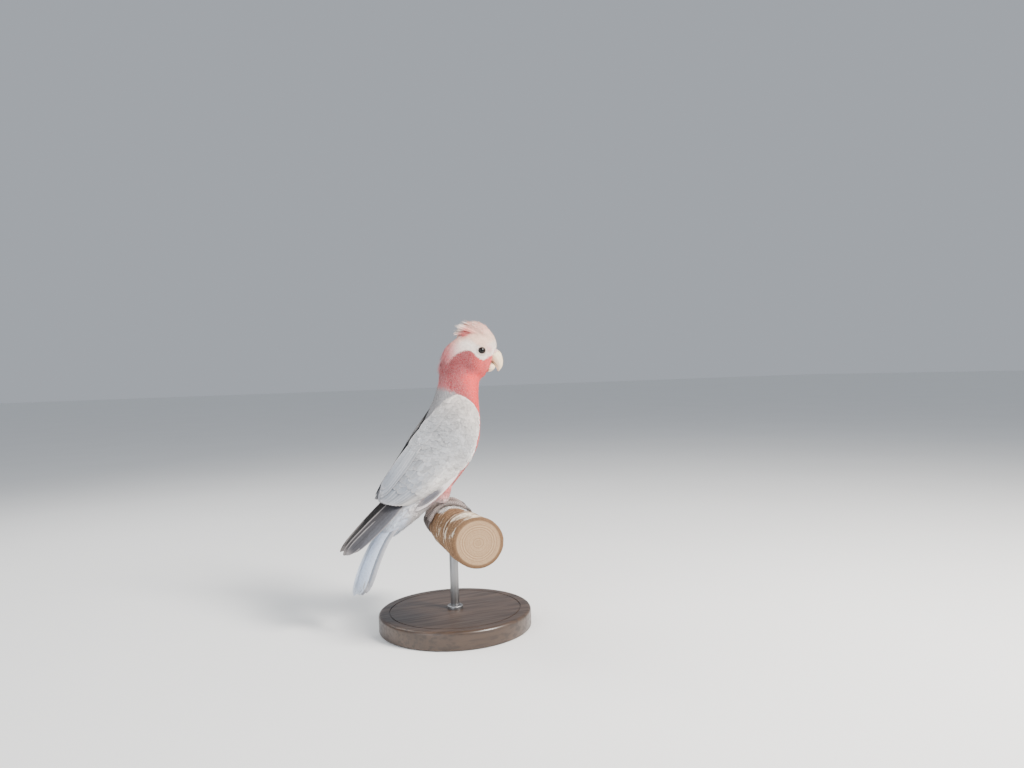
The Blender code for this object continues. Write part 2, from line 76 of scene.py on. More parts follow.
# %% [markdown]
# The body is easiest to think of in millimetres from the grip of the feet, looking straight ahead along X.
# The real pose has the head turned, and the turn is spread along the neck. Two small functions go between
# the straight bird and the posed one, so that markings and feather tracts can be described on the straight
# bird.

# %% The straight bird and the posed one
HEAD_TURN = math.radians(-18)
PIVOT_X = 25.0
TWIST_FROM, TWIST_TO = 128.0, 162.0


def ease(value, low, high):
    """0 below low, 1 above high, and a soft step between."""
    share = np.clip((value - low) / (high - low), 0, 1)
    return share * share * (3 - 2 * share)


def spun(points, angle):
    """Points turned about the upright line that the head turns on, by one angle or one for each."""
    x, y = points[..., 0] - PIVOT_X, points[..., 1]
    c, s = np.cos(angle), np.sin(angle)
    return np.stack([PIVOT_X + c * x - s * y, s * x + c * y, points[..., 2]], -1)


def straight(points):
    """Millimetres on the straight bird for points of the posed one in metres."""
    points = (np.asarray(points) - GRIP) / MM
    return spun(points, -HEAD_TURN * ease(points[..., 2], TWIST_FROM, TWIST_TO))


def posed(points):
    """Metres on the posed bird for points of the straight one in millimetres."""
    points = np.asarray(points, float)
    return spun(points, HEAD_TURN * ease(points[..., 2], TWIST_FROM, TWIST_TO)) * MM + GRIP


def turned(vectors, angle):
    """Directions turned by the same angle about an upright line."""
    return spun(vectors + np.array([PIVOT_X, 0, 0]), angle) - np.array([PIVOT_X, 0, 0])


def on_straight_head(points):
    """Millimetres on the straight bird for posed points of the head alone, which turns as one, in metres."""
    return spun((points - GRIP) / MM, -HEAD_TURN)


def unit(vectors):
    return vectors / np.maximum(np.linalg.norm(vectors, axis=-1, keepdims=True), 1e-12)


# %% [markdown]
# ## The markings
# A galah is rose-pink below, from the cheeks to the belly, with a pale pink crown and crest, and silver
# grey above. The markings could be painted or projected, but then skin and feathers could disagree. Here
# they are one function of the place on the straight bird, which colours the skin's points and each
# feather's root.

# %% Colours and the function of the markings
def linear(*rgb):
    """A display colour from 0 to 255 as linear light, which is what the shader takes."""
    c = np.array(rgb) / 255
    return np.where(c <= 0.04045, c / 12.92, ((c + 0.055) / 1.055) ** 2.4)


CREAM = linear(255, 215, 190)
CROWN_WHITE = linear(255, 238, 227)
CREST_ROSE = linear(198, 46, 60)
EAR_ROSE = linear(155, 39, 49)
CHEEK_PINK = linear(232, 69, 67)
CORAL = linear(248, 45, 47)
NECK_ROSE = linear(174, 41, 53)
NAPE_PINK = linear(212, 100, 107)
MANTLE_GREY = linear(158, 159, 162)
BELLY_ROSE = linear(250, 136, 134)
VENT_GREY = linear(236, 232, 232)
ANKLE_WHITE = linear(250, 232, 228)
RUMP_PALE = linear(206, 210, 218)
# pale silver grey of the tail and rump, made bluish white: partly painted skylight
TAIL_SILVER_SKYLIT = linear(222, 234, 252)
WING_WARM = linear(208, 198, 190)
WING_SILVER = linear(162, 164, 168)
WING_REAR = linear(134, 141, 152)
WING_RIM = linear(240, 236, 232)

AXIS_Z = np.array([-20, -8, 4, 17, 32.5, 50.5, 70, 89, 107.5, 125.5, 141, 153.5, 165, 178])
AXIS_X = np.array([-70.5, -61.5, -52, -41, -28.5, -14, 0.5, 12, 18, 21.5, 23.75, 25.75, 27.5, 31])
CROWN_LINE = np.array(  # where the pale crown meets the pink cheek: x and z
    [
        (0, 172), (8, 176.5), (16, 181), (22, 184.5), (28, 187), (34, 188.5), (41, 187.5), (46, 183.5),
        (50, 179), (54, 176.5), (58, 176), (64, 180), (70, 184), (76, 188),
    ]
)


def blend(colour, other, share):
    return colour + (other - colour) * np.asarray(share)[..., None]


def spot(q, x, z, radius):
    """1 at that place of the side view and 0 well outside the radius."""
    return np.exp(-((q[..., 0] - x) ** 2 + (q[..., 2] - z) ** 2) / radius**2)


def plumage(q):
    """The colour at points of the straight bird, in mm."""
    x, z = q[..., 0], q[..., 2]
    front = x - np.interp(z, AXIS_Z, AXIS_X)
    colour = np.broadcast_to(MANTLE_GREY, q.shape).copy()
    colour = blend(colour, RUMP_PALE, ease(z, 62, 30))
    colour = blend(colour, VENT_GREY, ease(front, -4, 6) * ease(z, 40, 20))
    neck_colour = blend(NECK_ROSE, CORAL, ease(front, -7, 20) * ease(z, 174, 156))
    below = blend(BELLY_ROSE, neck_colour, ease(z, 50, 116))
    colour = blend(colour, below, ease(front, -9, 3) * ease(x + 0.9 * z, -10, 4))
    # the rump by the tail takes the tail's silver, with its painted skylight
    colour = blend(colour, TAIL_SILVER_SKYLIT, ease(-x, 34, 46) * ease(z, 16, 4))
    colour = blend(colour, ANKLE_WHITE, ease(x, -20, -13) * ease(z, 33, 19) * 0.9)
    neck_base = np.interp(front, [-24, -10, 0, 8], [151, 144, 137, 118])
    neck = ease(z - neck_base, -4, 4)
    neck_colour = blend(neck_colour, NAPE_PINK, ease(-front, 11, 20) * 0.75)
    colour = blend(colour, neck_colour, neck)
    cheek = blend(EAR_ROSE, CHEEK_PINK, ease(x, 40, 56))
    cheek = blend(cheek, NECK_ROSE, ease(z, 170, 160) * ease(x, 50, 34))
    colour = blend(colour, cheek, ease(z, 158, 168) * ease(x, 8, 20))
    above = z - np.interp(x, CROWN_LINE[:, 0], CROWN_LINE[:, 1])
    crown = blend(CROWN_WHITE, CREAM, ease(above, 9, 17))
    crown = blend(crown, NAPE_PINK, np.maximum(ease(x, 38, 12) * 0.95, ease(z, 200, 214) * 0.3))
    colour = blend(colour, crown, ease(above, -0.9, 0.9))
    colour = blend(colour, CHEEK_PINK, spot(q, 63, 187.5, 3.8) * 0.42)
    return blend(colour, CREST_ROSE, spot(q, 36, 210, 5.0) * 0.85)


# %% [markdown]
# ## Helpers of the workshop
# Modifiers are applied as from the Properties editor. Everything is deselected first, because an operator
# acts on all that is selected and the loaded frame starts selected.

# %% Selecting, applying modifiers, closing a piece
def pick(*objects):
    """Selects only these objects, with the first one active."""
    bpy.ops.object.select_all(action="DESELECT")
    for obj in objects:
        obj.select_set(True)
    bpy.context.view_layer.objects.active = objects[0]


def with_modifier(obj, kind, **settings):
    """Adds one modifier with these settings and applies it."""
    pick(obj)
    modifier = obj.modifiers.new(kind.title(), kind)
    for key, value in settings.items():
        setattr(modifier, key, value)
    bpy.ops.object.modifier_apply(modifier=modifier.name)


def new_object(name, mesh):
    """A mesh as an object of the scene."""
    made = bpy.data.objects.new(name, mesh)
    bpy.context.scene.collection.objects.link(made)
    return made


def primitive(name, add, **settings):
    """One of Blender's own shapes, with its place and turn applied to its points."""
    bpy.ops.object.select_all(action="DESELECT")
    add(**settings)
    made = bpy.context.active_object
    made.name = made.data.name = name
    bpy.ops.object.transform_apply(location=True, rotation=True, scale=True)
    return made


def loose_copy(node, name):
    """A node's mesh as a new object of its own, with its doubled points merged."""
    bm = bmesh.new()
    bm.from_mesh(nodes[node].data)
    bmesh.ops.remove_doubles(bm, verts=bm.verts, dist=0.002 * MM)
    mesh = bpy.data.meshes.new(name)
    bm.to_mesh(mesh)
    bm.free()
    return new_object(name, mesh)


def keep_largest(obj):
    """Drops chips that a remesh leaves beside the piece."""
    bm = bmesh.new()
    bm.from_mesh(obj.data)
    waiting, islands = set(bm.verts), []
    while waiting:
        edge = [waiting.pop()]
        island = list(edge)
        while edge:
            near = {e.other_vert(v) for v in edge for e in v.link_edges} & waiting
            waiting -= near
            edge = list(near)
            island += edge
        islands.append(island)
    islands.sort(key=len)
    bmesh.ops.delete(bm, geom=[v for island in islands[:-1] for v in island], context="VERTS")
    bm.to_mesh(obj.data)
    bm.free()
    return len(islands) - 1


def read(items, attribute, width, kind=np.float32):
    """An attribute of all points, edges, corners or faces, as an array with that many numbers for each."""
    values = np.empty(len(items) * width, kind)
    items.foreach_get(attribute, values)
    return values.reshape(-1, width)


def coordinates(mesh):
    return read(mesh.vertices, "co", 3).astype(float)


def set_coordinates(mesh, points):
    mesh.vertices.foreach_set("co", np.asarray(points, np.float32).ravel())
    mesh.update()


def triangles_of(mesh):
    """Each triangle's points and its corners."""
    mesh.calc_loop_triangles()
    return tuple(read(mesh.loop_triangles, name, 3, np.int32) for name in ("vertices", "loops"))


def surface_tree(mesh):
    """A search tree over a mesh's triangles."""
    return BVHTree.FromPolygons(coordinates(mesh).tolist(), triangles_of(mesh)[0].tolist())


def face_outwards(mesh):
    """Turns the faces round where they enclose a negative volume."""
    a, b, c = np.moveaxis(coordinates(mesh)[triangles_of(mesh)[0]], 1, 0)
    if np.einsum("ij,ij->i", a - a[0], np.cross(b - a[0], c - a[0])).sum() < 0:
        mesh.flip_normals()


def set_colour(mesh, colours):
    """The markings' colour at each point of the mesh."""
    rgba = np.ones((len(colours), 4), np.float32)
    rgba[:, :3] = np.clip(colours, 0, 1)
    mesh.attributes.new("plumage", "FLOAT_COLOR", "POINT").data.foreach_set("color", rgba.ravel())


def set_value(mesh, values, name):
    """A number for each point of the mesh."""
    values = np.asarray(values, np.float32).ravel()
    mesh.attributes.new(name, "FLOAT", "POINT").data.foreach_set("value", values)


def set_uv(mesh, per_point, name):
    """A UV map from two numbers for each point."""
    corner = read(mesh.loops, "vertex_index", 1, np.int32)[:, 0]
    layer = mesh.uv_layers.new(name=name, do_init=False)
    layer.data.foreach_set("uv", np.asarray(per_point, np.float32)[corner].ravel())


def ring_faces(rings, corners, closed=False):
    """Faces between rings of points: closed joins the last ring to the first, else each end gets a cap."""
    faces = []
    for k in range(rings if closed else rings - 1):
        a, b = k * corners, (k + 1) % rings * corners
        faces += [(a + i, a + (i + 1) % corners, b + (i + 1) % corners, b + i) for i in range(corners)]
    if not closed:
        last = (rings - 1) * corners
        faces += [tuple(range(corners))[::-1], tuple(range(last, last + corners))]
    return faces


def closed_piece(name, points, faces):
    """A smooth closed piece from points in metres and their faces."""
    mesh = bpy.data.meshes.new(name)
    mesh.from_pydata(points.tolist(), [], faces)
    face_outwards(mesh)
    mesh.shade_smooth()
    return new_object(name, mesh)


def place(obj, slot, *replaced):
    """Hands a finished piece to the frame."""
    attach(obj, "root")
    if replaced:
        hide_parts(*replaced)


# %% [markdown]
# ## Shader groups
# Feathers, bark, horn and skin share a few effects, so each is a node group with named inputs: the pattern
# of one vane, a soft mottle, and scales. A group gives only masks and values; the shaders stay in the
# materials.

# %% Small helpers to wire nodes
def wire(tree, kind, inputs=(), **settings):
    """A node with its settings and its inputs, which are values or other nodes' outputs."""
    made = tree.nodes.new(kind)
    for key, value in settings.items():
        setattr(made, key, value)
    for key, value in dict(inputs).items():
        if isinstance(value, bpy.types.NodeSocket):
            tree.links.new(value, made.inputs[key])
        else:
            made.inputs[key].default_value = value
    return made


def maths(tree, operation, *values):
    return wire(tree, "ShaderNodeMath", enumerate(values), operation=operation).outputs[0]


def step(tree, value, low, high, bottom=0.0, top=1.0):
    """A soft step from bottom at low to top at high."""
    numbers = {"Value": value, "From Min": low, "From Max": high, "To Min": bottom, "To Max": top}
    return wire(tree, "ShaderNodeMapRange", numbers, interpolation_type="SMOOTHSTEP").outputs[0]


def mixed(tree, share, a, b, kind="MIX"):
    """Two colours mixed by a share."""
    inputs = {0: share, 6: a, 7: b}
    return wire(tree, "ShaderNodeMix", inputs, data_type="RGBA", blend_type=kind).outputs[2]


def rgba(*colour):
    return (*[float(c) for c in colour], 1.0)


def paint(*rgb):
    """A display colour from 0 to 255 for a colour input."""
    return rgba(*linear(*rgb))


def here(tree):
    """The place in the object's own coordinates."""
    return wire(tree, "ShaderNodeTexCoord").outputs["Object"]


def value_of(tree, name):
    """A number that the mesh holds for each of its points."""
    return wire(tree, "ShaderNodeAttribute", attribute_name=name).outputs["Fac"]


def drawn_out(tree, scale, rotation=(0, 0, 0)):
    """The place scaled differently along each axis, which draws a pattern out into streaks."""
    inputs = {"Vector": here(tree), "Rotation": rotation, "Scale": scale}
    return wire(tree, "ShaderNodeMapping", inputs).outputs[0]


def line_noise(tree, along, scale, detail):
    """Noise along one number, which makes bands and rings."""
    inputs = {"W": along, "Scale": scale, "Detail": detail}
    return wire(tree, "ShaderNodeTexNoise", inputs, noise_dimensions="1D").outputs["Fac"]


def new_group(name, outputs, **inputs):
    """A node group whose outputs are numbers; inputs are given with their kinds."""
    tree = bpy.data.node_groups.new(name, "ShaderNodeTree")
    for label, kind in inputs.items():
        tree.interface.new_socket(label, in_out="INPUT", socket_type=f"NodeSocket{kind}")
    for label in outputs:
        tree.interface.new_socket(label, in_out="OUTPUT", socket_type="NodeSocketFloat")
    return tree, tree.nodes.new("NodeGroupInput").outputs, tree.nodes.new("NodeGroupOutput").inputs


def use_group(tree, group, **inputs):
    return wire(tree, "ShaderNodeGroup", inputs, node_tree=group).outputs


def mottled(tree, scale, detail, at=None):
    """The mottle group at a place, which is the object's own unless another is given."""
    return use_group(tree, MOTTLE, Vector=at or here(tree), Scale=scale, Detail=detail)


# %% The groups
VANE, given, out = new_group("Vane", ["Barb", "Shaft", "Rim"], Vane="Vector", Barbs="Float", Slant="Float")
axes = wire(VANE, "ShaderNodeSeparateXYZ", {0: given["Vane"]}).outputs
across = maths(VANE, "ABSOLUTE", maths(VANE, "MULTIPLY_ADD", axes["X"], 2.0, -1.0))
phase = maths(VANE, "MULTIPLY", axes["Y"], given["Barbs"])
phase = maths(VANE, "MULTIPLY_ADD", across, given["Slant"], phase)
VANE.links.new(maths(VANE, "SINE", maths(VANE, "MULTIPLY", phase, math.tau)), out["Barb"])
VANE.links.new(step(VANE, across, 0.12, 0.03), out["Shaft"])
VANE.links.new(step(VANE, maths(VANE, "MAXIMUM", across, axes["Y"]), 0.7, 1.0), out["Rim"])

MOTTLE, given, out = new_group("Mottle", ["Value", "Patches"], Vector="Vector", Scale="Float", Detail="Float")
noise = wire(MOTTLE, "ShaderNodeTexNoise", {key: given[key] for key in ("Vector", "Scale", "Detail")})
MOTTLE.links.new(noise.outputs["Fac"], out["Value"])
MOTTLE.links.new(step(MOTTLE, noise.outputs["Fac"], 0.46, 0.6), out["Patches"])

SCALES, given, out = new_group("Scales", ["Plate", "Edge"], Vector="Vector", Scale="Float")
cell_inputs = {key: given[key] for key in ("Vector", "Scale")}
cells = wire(SCALES, "ShaderNodeTexVoronoi", cell_inputs, feature="DISTANCE_TO_EDGE")
SCALES.links.new(step(SCALES, cells.outputs["Distance"], 0.0, 0.28), out["Plate"])
SCALES.links.new(step(SCALES, cells.outputs["Distance"], 0.14, 0.0), out["Edge"])
print("shader groups:", [group.name for group in (VANE, MOTTLE, SCALES)])

# %% [markdown]
# ## Materials
# Plumage is matt, because barbs scatter light, and it has a faint sheen. Its colour comes from the
# markings; the vane group adds barbs, a shaft and a worn pale rim along each feather. The bumps are far
# below a millimetre, so the mesh gives the feather's form and the shader only its grain.

# %% A new material with its shader, and plumage
def new_material(name, **constants):
    material = bpy.data.materials.new(name)
    material.use_nodes = True
    shader = material.node_tree.nodes["Principled BSDF"]
    for key, value in constants.items():
        shader.inputs[key.replace("_", " ")].default_value = value
    return material, material.node_tree, shader


def dress(tree, shader, colour, roughness=None, height=None, depth=0.0):
    """Joins a finished pattern to the shader: its colour, its roughness, and bumps of that depth in mm."""
    tree.links.new(colour, shader.inputs["Base Color"])
    if roughness:
        tree.links.new(roughness, shader.inputs["Roughness"])
    if height:
        bump = wire(tree, "ShaderNodeBump", {"Height": height, "Distance": depth * MM, "Strength": 1.0})
        tree.links.new(bump.outputs["Normal"], shader.inputs["Normal"])


def marked(tree):
    """The markings' colour that the mesh holds."""
    return wire(tree, "ShaderNodeAttribute", attribute_name="plumage").outputs["Color"]


def toned(tree, colour, tone):
    """A colour made lighter or darker by a number."""
    grey = wire(tree, "ShaderNodeCombineColor", {0: tone, 1: tone, 2: tone}).outputs[0]
    return mixed(tree, 1.0, colour, grey, "MULTIPLY")


def plumage_material(name, barbs, slant, grain, rim, shaft, depth, roughness):
    """Feathers: the barbs along a vane, their slant, and how far grain, rim and shaft lighten the colour."""
    material, tree, shader = new_material(
        name, Sheen_Weight=0.12, Sheen_Roughness=0.5, Specular_IOR_Level=0.25
    )
    vane = wire(tree, "ShaderNodeUVMap", uv_map="vane").outputs["UV"]
    pattern = use_group(tree, VANE, Vane=vane, Barbs=barbs, Slant=slant)
    mottle = mottled(tree, 420.0, 3.0)
    tone = maths(tree, "MULTIPLY_ADD", pattern["Barb"], grain, 1.0)
    tone = maths(tree, "MULTIPLY_ADD", maths(tree, "SUBTRACT", mottle["Value"], 0.5), 0.5, tone)
    tone = maths(tree, "MULTIPLY_ADD", pattern["Shaft"], shaft, tone)
    worn = maths(tree, "MULTIPLY", pattern["Rim"], rim)
    shown = mixed(tree, worn, toned(tree, marked(tree), tone), paint(250, 240, 236))
    rough = maths(tree, "MULTIPLY_ADD", mottle["Value"], 0.2, roughness - 0.1)
    height = maths(tree, "MULTIPLY_ADD", pattern["Shaft"], 1.2, pattern["Barb"])
    dress(tree, shader, shown, rough, height, depth)
    return material


FINE_PLUMES, BODY_PLUMES, COVERT_PLUMES, FLIGHT_PLUMES, TAIL_PLUMES = (
    plumage_material(*row)
    for row in (  # name, barbs, slant, grain, rim, shaft, depth, roughness
        ("fine_plumes", 5.0, 1.5, 0.07, 0.22, -0.04, 0.05, 0.78),
        ("body_plumes", 9.0, 3.0, 0.07, 0.2, -0.08, 0.07, 0.78),
        ("covert_plumes", 20.0, 5.0, 0.03, 0.26, -0.07, 0.05, 0.78),
        ("flight_plumes", 90.0, 9.0, 0.035, 0.26, -0.2, 0.05, 0.6),
        ("tail_plumes", 120.0, 9.0, 0.035, 0.16, -0.26, 0.05, 0.55),
    )
)

# the down and skin that shows between feathers, in the same markings
DOWN, tree, shader = new_material("downy_skin", Roughness=0.9, Specular_IOR_Level=0.2)
mottle = mottled(tree, 900.0, 4.0)
tone = maths(tree, "MULTIPLY_ADD", mottle["Value"], 0.5, 0.45)
downy = mixed(tree, 0.3, marked(tree), paint(190, 178, 176))
dress(tree, shader, toned(tree, downy, tone), height=mottle["Value"], depth=0.3)
print("plumage materials:", len(bpy.data.materials))

# %% [markdown]
# ## The skin
# Under the feathers lies one skin over head, crest, neck, trunk, thighs and the folded wings' arms. It
# could be sculpted anew, but the solids already have the right form, so their copies are grown a little to
# close the thin cuts, joined, and remeshed into one. Then the skin is drawn in by the depth of the coat.

# %% One skin from the solids of the flesh
FLESH = ("head", "crest", "neck", "trunk", "rump", "thigh_right", "thigh_left", "wing_right", "wing_left")
CLOSING = 0.45 * MM  # more than half of a thin cut
COAT_DEPTH = 1.3 * MM
SKIN_VOXEL = 1.25 * MM
ARM_END, ARM_END_WAY = Vector((-41, 0, 36)) * MM, (-0.76, 0, -0.65)

copies = [loose_copy(name, f"flesh_{name}") for name in FLESH]
for copy in copies[-2:]:  # behind the wing's arm there are only feathers, so its thin rear goes
    pick(copy)
    bpy.ops.object.mode_set(mode="EDIT")
    bpy.ops.mesh.select_all(action="SELECT")
    cut_at = Vector(GRIP) + ARM_END
    bpy.ops.mesh.bisect(plane_co=cut_at, plane_no=ARM_END_WAY, use_fill=True, clear_outer=True)
    bpy.ops.object.mode_set(mode="OBJECT")
for copy in copies:
    with_modifier(copy, "DISPLACE", strength=CLOSING, mid_level=0.0)
pick(*copies)
bpy.ops.object.join()
skin = copies[0]
skin.name = skin.data.name = "skin"
with_modifier(skin, "REMESH", mode="VOXEL", voxel_size=SKIN_VOXEL)
with_modifier(skin, "SMOOTH", factor=0.5, iterations=4)
with_modifier(skin, "DISPLACE", strength=-(CLOSING + COAT_DEPTH), mid_level=0.0)
with_modifier(skin, "REMESH", mode="VOXEL", voxel_size=SKIN_VOXEL)
with_modifier(skin, "SMOOTH", factor=0.5, iterations=3)
chips = keep_largest(skin)
skin.data.shade_smooth()
pick(skin)
bpy.ops.object.mode_set(mode="EDIT")
bpy.ops.mesh.select_all(action="SELECT")
bpy.ops.mesh.normals_make_consistent(inside=False)
bpy.ops.uv.smart_project(angle_limit=math.radians(66), island_margin=0.002)
bpy.ops.object.mode_set(mode="OBJECT")
skin.data.uv_layers[0].name = "OFBake"
skin.data.materials.clear()
skin.data.materials.append(DOWN)
skin_points = coordinates(skin.data)
print(f"skin: {len(skin.data.polygons)} faces, {chips} chips dropped")

# %% [markdown]
# ## The lie of the feathers
# Feathers grow in tracts that point away from the bill over the head, then down the neck and the body
# towards the tail. That field is worked out once for each face of the skin, and each feather then grows
# along it from its root, following the skin's curve, so that the coat lies like a real one.

# %% The field over the skin
BILL_AT = np.array([84.0, 0.0, 174.0])
DOWN_THE_LEG = np.array([-0.15, 0.0, -1.0])


def flow(q):
    """The way that feathers point at places on the straight bird."""
    from_bill = unit(q - BILL_AT)
    slope = np.interp(q[:, 2], (AXIS_Z[1:] + AXIS_Z[:-1]) / 2, np.diff(AXIS_X) / np.diff(AXIS_Z))
    down = unit(np.stack([-slope, -0.06 * q[:, 1] / 20, -np.ones(len(q))], -1))
    distance = np.linalg.norm(q - BILL_AT, axis=1)
    leg = ease(q[:, 2], 34, 20) * ease(q[:, 0], -26, -16)
    down = blend(down, DOWN_THE_LEG, leg)
    return unit(blend(from_bill, down, ease(distance, 45, 78)))


SKIN_TRIANGLES, SKIN_LOOPS = triangles_of(skin.data)
skin_uv = read(skin.data.uv_layers["OFBake"].data, "uv", 2)
skin_normals = read(skin.data.vertices, "normal", 3).astype(float)
corner_points = skin_points[SKIN_TRIANGLES]
FACE_NORMALS = unit(skin_normals[SKIN_TRIANGLES].mean(1))
FACE_UV = skin_uv[SKIN_LOOPS].mean(1)
face_straight = straight(corner_points.mean(1))
FACE_FLOW = unit(posed(face_straight + flow(face_straight) * 0.1) - posed(face_straight))
SKIN_TREE = surface_tree(skin.data)
place(skin, "grey_feathers", *FLESH)
print("feather field on", len(FACE_FLOW), "triangles")

# %% [markdown]
# ## One vane, many times
# A contour feather is a thin closed vane: a shallow roof over its shaft, widest past the middle, with a
# rounded tip. It could be an instance, but then every feather would be stiff and alike. Instead the
# stations of all vanes of a piece are worked out together as arrays, and one mesh is made from them.

# %% Vanes from their stations
SMALL_SECTION = np.array([(1, 0), (0, 1), (-1, 0), (0, -0.6)])  # across and up, counter-clockwise
BROAD_SECTION = np.array(
    [(1, 0), (0.5, 0.55), (0.07, 0.62), (0, 1.1), (-0.07, 0.62), (-0.5, 0.55), (-1, 0), (0, -0.55)]
)
PATCH = (0.003, 0.003)  # each small vane's share of the baking map


def vane_mesh(name, mids, ups, halves, thick, colours, patches, section, material, sag=0.0, patch_size=PATCH):
    """Vanes as one mesh. Every array but patches goes by vane and station; lengths are in metres."""
    count, stations = halves.shape
    corners = len(section)
    along = unit(np.gradient(mids, axis=1))
    side = unit(np.cross(ups, along))
    up = np.cross(along, side)
    across = section[:, 0]
    offset = across[:, None] * halves[..., None, None] * side[:, :, None]
    lift = section[:, 1] * thick[..., None] - sag * (across * halves[..., None]) ** 2
    points = mids[:, :, None] + offset + lift[..., None] * up[:, :, None]

    # four-sided faces from station to station, and a cap at the root and the tip of each vane
    first = (np.arange(count)[:, None, None] * stations + np.arange(stations - 1)[:, None]) * corners
    ring = np.arange(corners)
    ahead = (ring + 1) % corners
    quads = [first + ring, first + ahead, first + corners + ahead, first + corners + ring]
    quads = np.stack(quads, -1).reshape(-1, 4)
    root = np.arange(count)[:, None] * stations * corners + ring[::-1]
    tip = (np.arange(count)[:, None] * stations + stations - 1) * corners + ring
    caps = np.concatenate([root, tip])
    mesh = bpy.data.meshes.new(name)
    mesh.vertices.add(count * stations * corners)
    mesh.vertices.foreach_set("co", points.astype(np.float32).ravel())
    loops = np.concatenate([quads.ravel(), caps.ravel()]).astype(np.int32)
    mesh.loops.add(len(loops))
    mesh.loops.foreach_set("vertex_index", loops)
    starts = np.concatenate([np.arange(len(quads)) * 4, len(quads) * 4 + np.arange(len(caps)) * corners])
    mesh.polygons.add(len(starts))
    mesh.polygons.foreach_set("loop_start", starts.astype(np.int32))
    mesh.update(calc_edges=True)
    mesh.shade_smooth()

    # the two rims stay sharp, the maps run along and across each vane, and its root gives the bake's place
    ends = read(mesh.edges, "vertices", 2, np.int32) % corners
    sharp = (ends[:, 0] == ends[:, 1]) & np.isin(ends[:, 0], np.flatnonzero(np.abs(across) == 1))
    mesh.attributes.new("sharp_edge", "BOOLEAN", "EDGE").data.foreach_set("value", sharp)
    vane_uv = np.empty((count, stations, corners, 2))
    vane_uv[..., 0] = 0.5 + 0.5 * across
    vane_uv[..., 1] = np.linspace(0, 1, stations)[:, None]
    bake_uv = patches[:, None, None, :] + (vane_uv - 0.5) * np.array(patch_size)
    set_uv(mesh, bake_uv.reshape(-1, 2), "OFBake")
    set_uv(mesh, vane_uv.reshape(-1, 2), "vane")
    set_colour(mesh, np.repeat(colours.reshape(-1, 3), corners, axis=0))
    mesh.materials.append(material)
    face_outwards(mesh)
    return new_object(name, mesh)


# %% [markdown]
# ## The coat of the body
# Roots are scattered evenly but not in rows, closest on the face, where feathers are finest, and wider
# apart down the body. From each root the vane takes a few short steps along the field, held to the skin,
# and rises a little towards its tip so that it lies over the next. At the nape and the crest the tips stand
# out.

# %% Scattering roots
rng = np.random.default_rng(7)
WING_TREES = [surface_tree(nodes[name].data) for name in ("wing_right", "wing_left")]
EYE_CLEARANCE = 4.9 * MM
WING_CLEARANCE = 0.7 * MM


def plume_size(q):
    """How large feathers are at a place of the straight bird: 1 is a cheek feather of about 5 mm."""
    distance = np.linalg.norm(q - np.array([76.0, 0, 178.0]), axis=1)
    size = np.interp(distance, [8, 22, 45, 75, 110, 200], [0.62, 0.85, 1.05, 1.6, 2.3, 2.9])
    eye = np.hypot(q[:, 0] - 52, q[:, 2] - 187.5) + 60 * (np.abs(q[:, 1]) < 8)
    size = np.minimum(size, np.interp(eye, [4, 9, 16], [0.45, 0.7, 1.2]) + 5 * (eye > 16))
    leg = ease(q[:, 2], 26, 14) * ease(q[:, 0], -24, -16)
    return size + (1.15 - size) * leg


face_edges = corner_points[:, 1:] - corner_points[:, :1]
FACE_AREA = np.linalg.norm(np.cross(face_edges[:, 0], face_edges[:, 1]), axis=1) / 2
FACE_SIZE = plume_size(face_straight)


def scattered(amount, crowd):
    """Random places on the skin, denser by that power where feathers are small."""
    chance = FACE_AREA / FACE_SIZE**crowd
    face = rng.choice(len(chance), amount, p=chance / chance.sum())
    u, v = rng.random((2, amount))
    over = u + v > 1
    u[over], v[over] = 1 - u[over], 1 - v[over]
    weights = np.stack([1 - u - v, u, v], -1)
    points = np.einsum("ij,ijk->ik", weights, corner_points[face])
    uv = np.einsum("ij,ijk->ik", weights, skin_uv[SKIN_LOOPS[face]])
    return points, face, uv


def thinned(points, spacing):
    """Indices of points that keep their spacing, one number or one for each, from those before them."""
    spacing = np.broadcast_to(spacing, len(points))
    cell = spacing.min()
    kept, grid = [], {}
    keys = np.floor(points / cell).astype(int).tolist()
    for i, ((x, y, z), gap) in enumerate(zip(keys, spacing.tolist())):
        reach = range(-int(gap / cell) - 1, int(gap / cell) + 2)
        cubes = [(x + a, y + b, z + c) for a in reach for b in reach for c in reach]
        near = [j for cube in cubes for j in grid.get(cube, ())]
        if not near or ((points[near] - points[i]) ** 2).sum(1).min() > gap * gap:
            kept.append(i)
            grid.setdefault((x, y, z), []).append(i)
    return np.array(kept)


def clear_roots(points):
    """Which roots stay: none inside a wing, which has rows of its own, nor in an eye's opening."""
    stay = np.ones(len(points), bool)
    for i, p in enumerate(points):
        p = Vector(p)
        for tree in WING_TREES:
            near, normal, _, gap = tree.find_nearest(p, 3 * MM)
            if near is not None and (gap < WING_CLEARANCE or (p - near).dot(normal) < 0):
                stay[i] = False
    for centre in EYE_CENTRES.values():
        stay &= np.linalg.norm(points - centre, axis=1) > EYE_CLEARANCE
    return stay


# %% Growing the coat in two layers
STATIONS = 5
ALONG = np.array([0.0, 0.3, 0.6, 0.86, 1.0])
RISE = np.array([-0.25, 0.12, 0.35, 0.55, 0.7])
RUFFLED = np.array([0, 0, 0.15, 0.6, 1.0])
TAPER = np.array([0.7, 1, 0.9, 0.6, 0.2])
FROSTED = np.array([0.0, 0.0, 0.1, 0.35, 0.7])
FROST = linear(250, 222, 216)


def swerved(way, normal, swerve):
    """A way laid flat on the surface and turned a little to one side."""
    way = (way - normal * way.dot(normal)).normalized()
    return (way + normal.cross(way) * swerve).normalized()


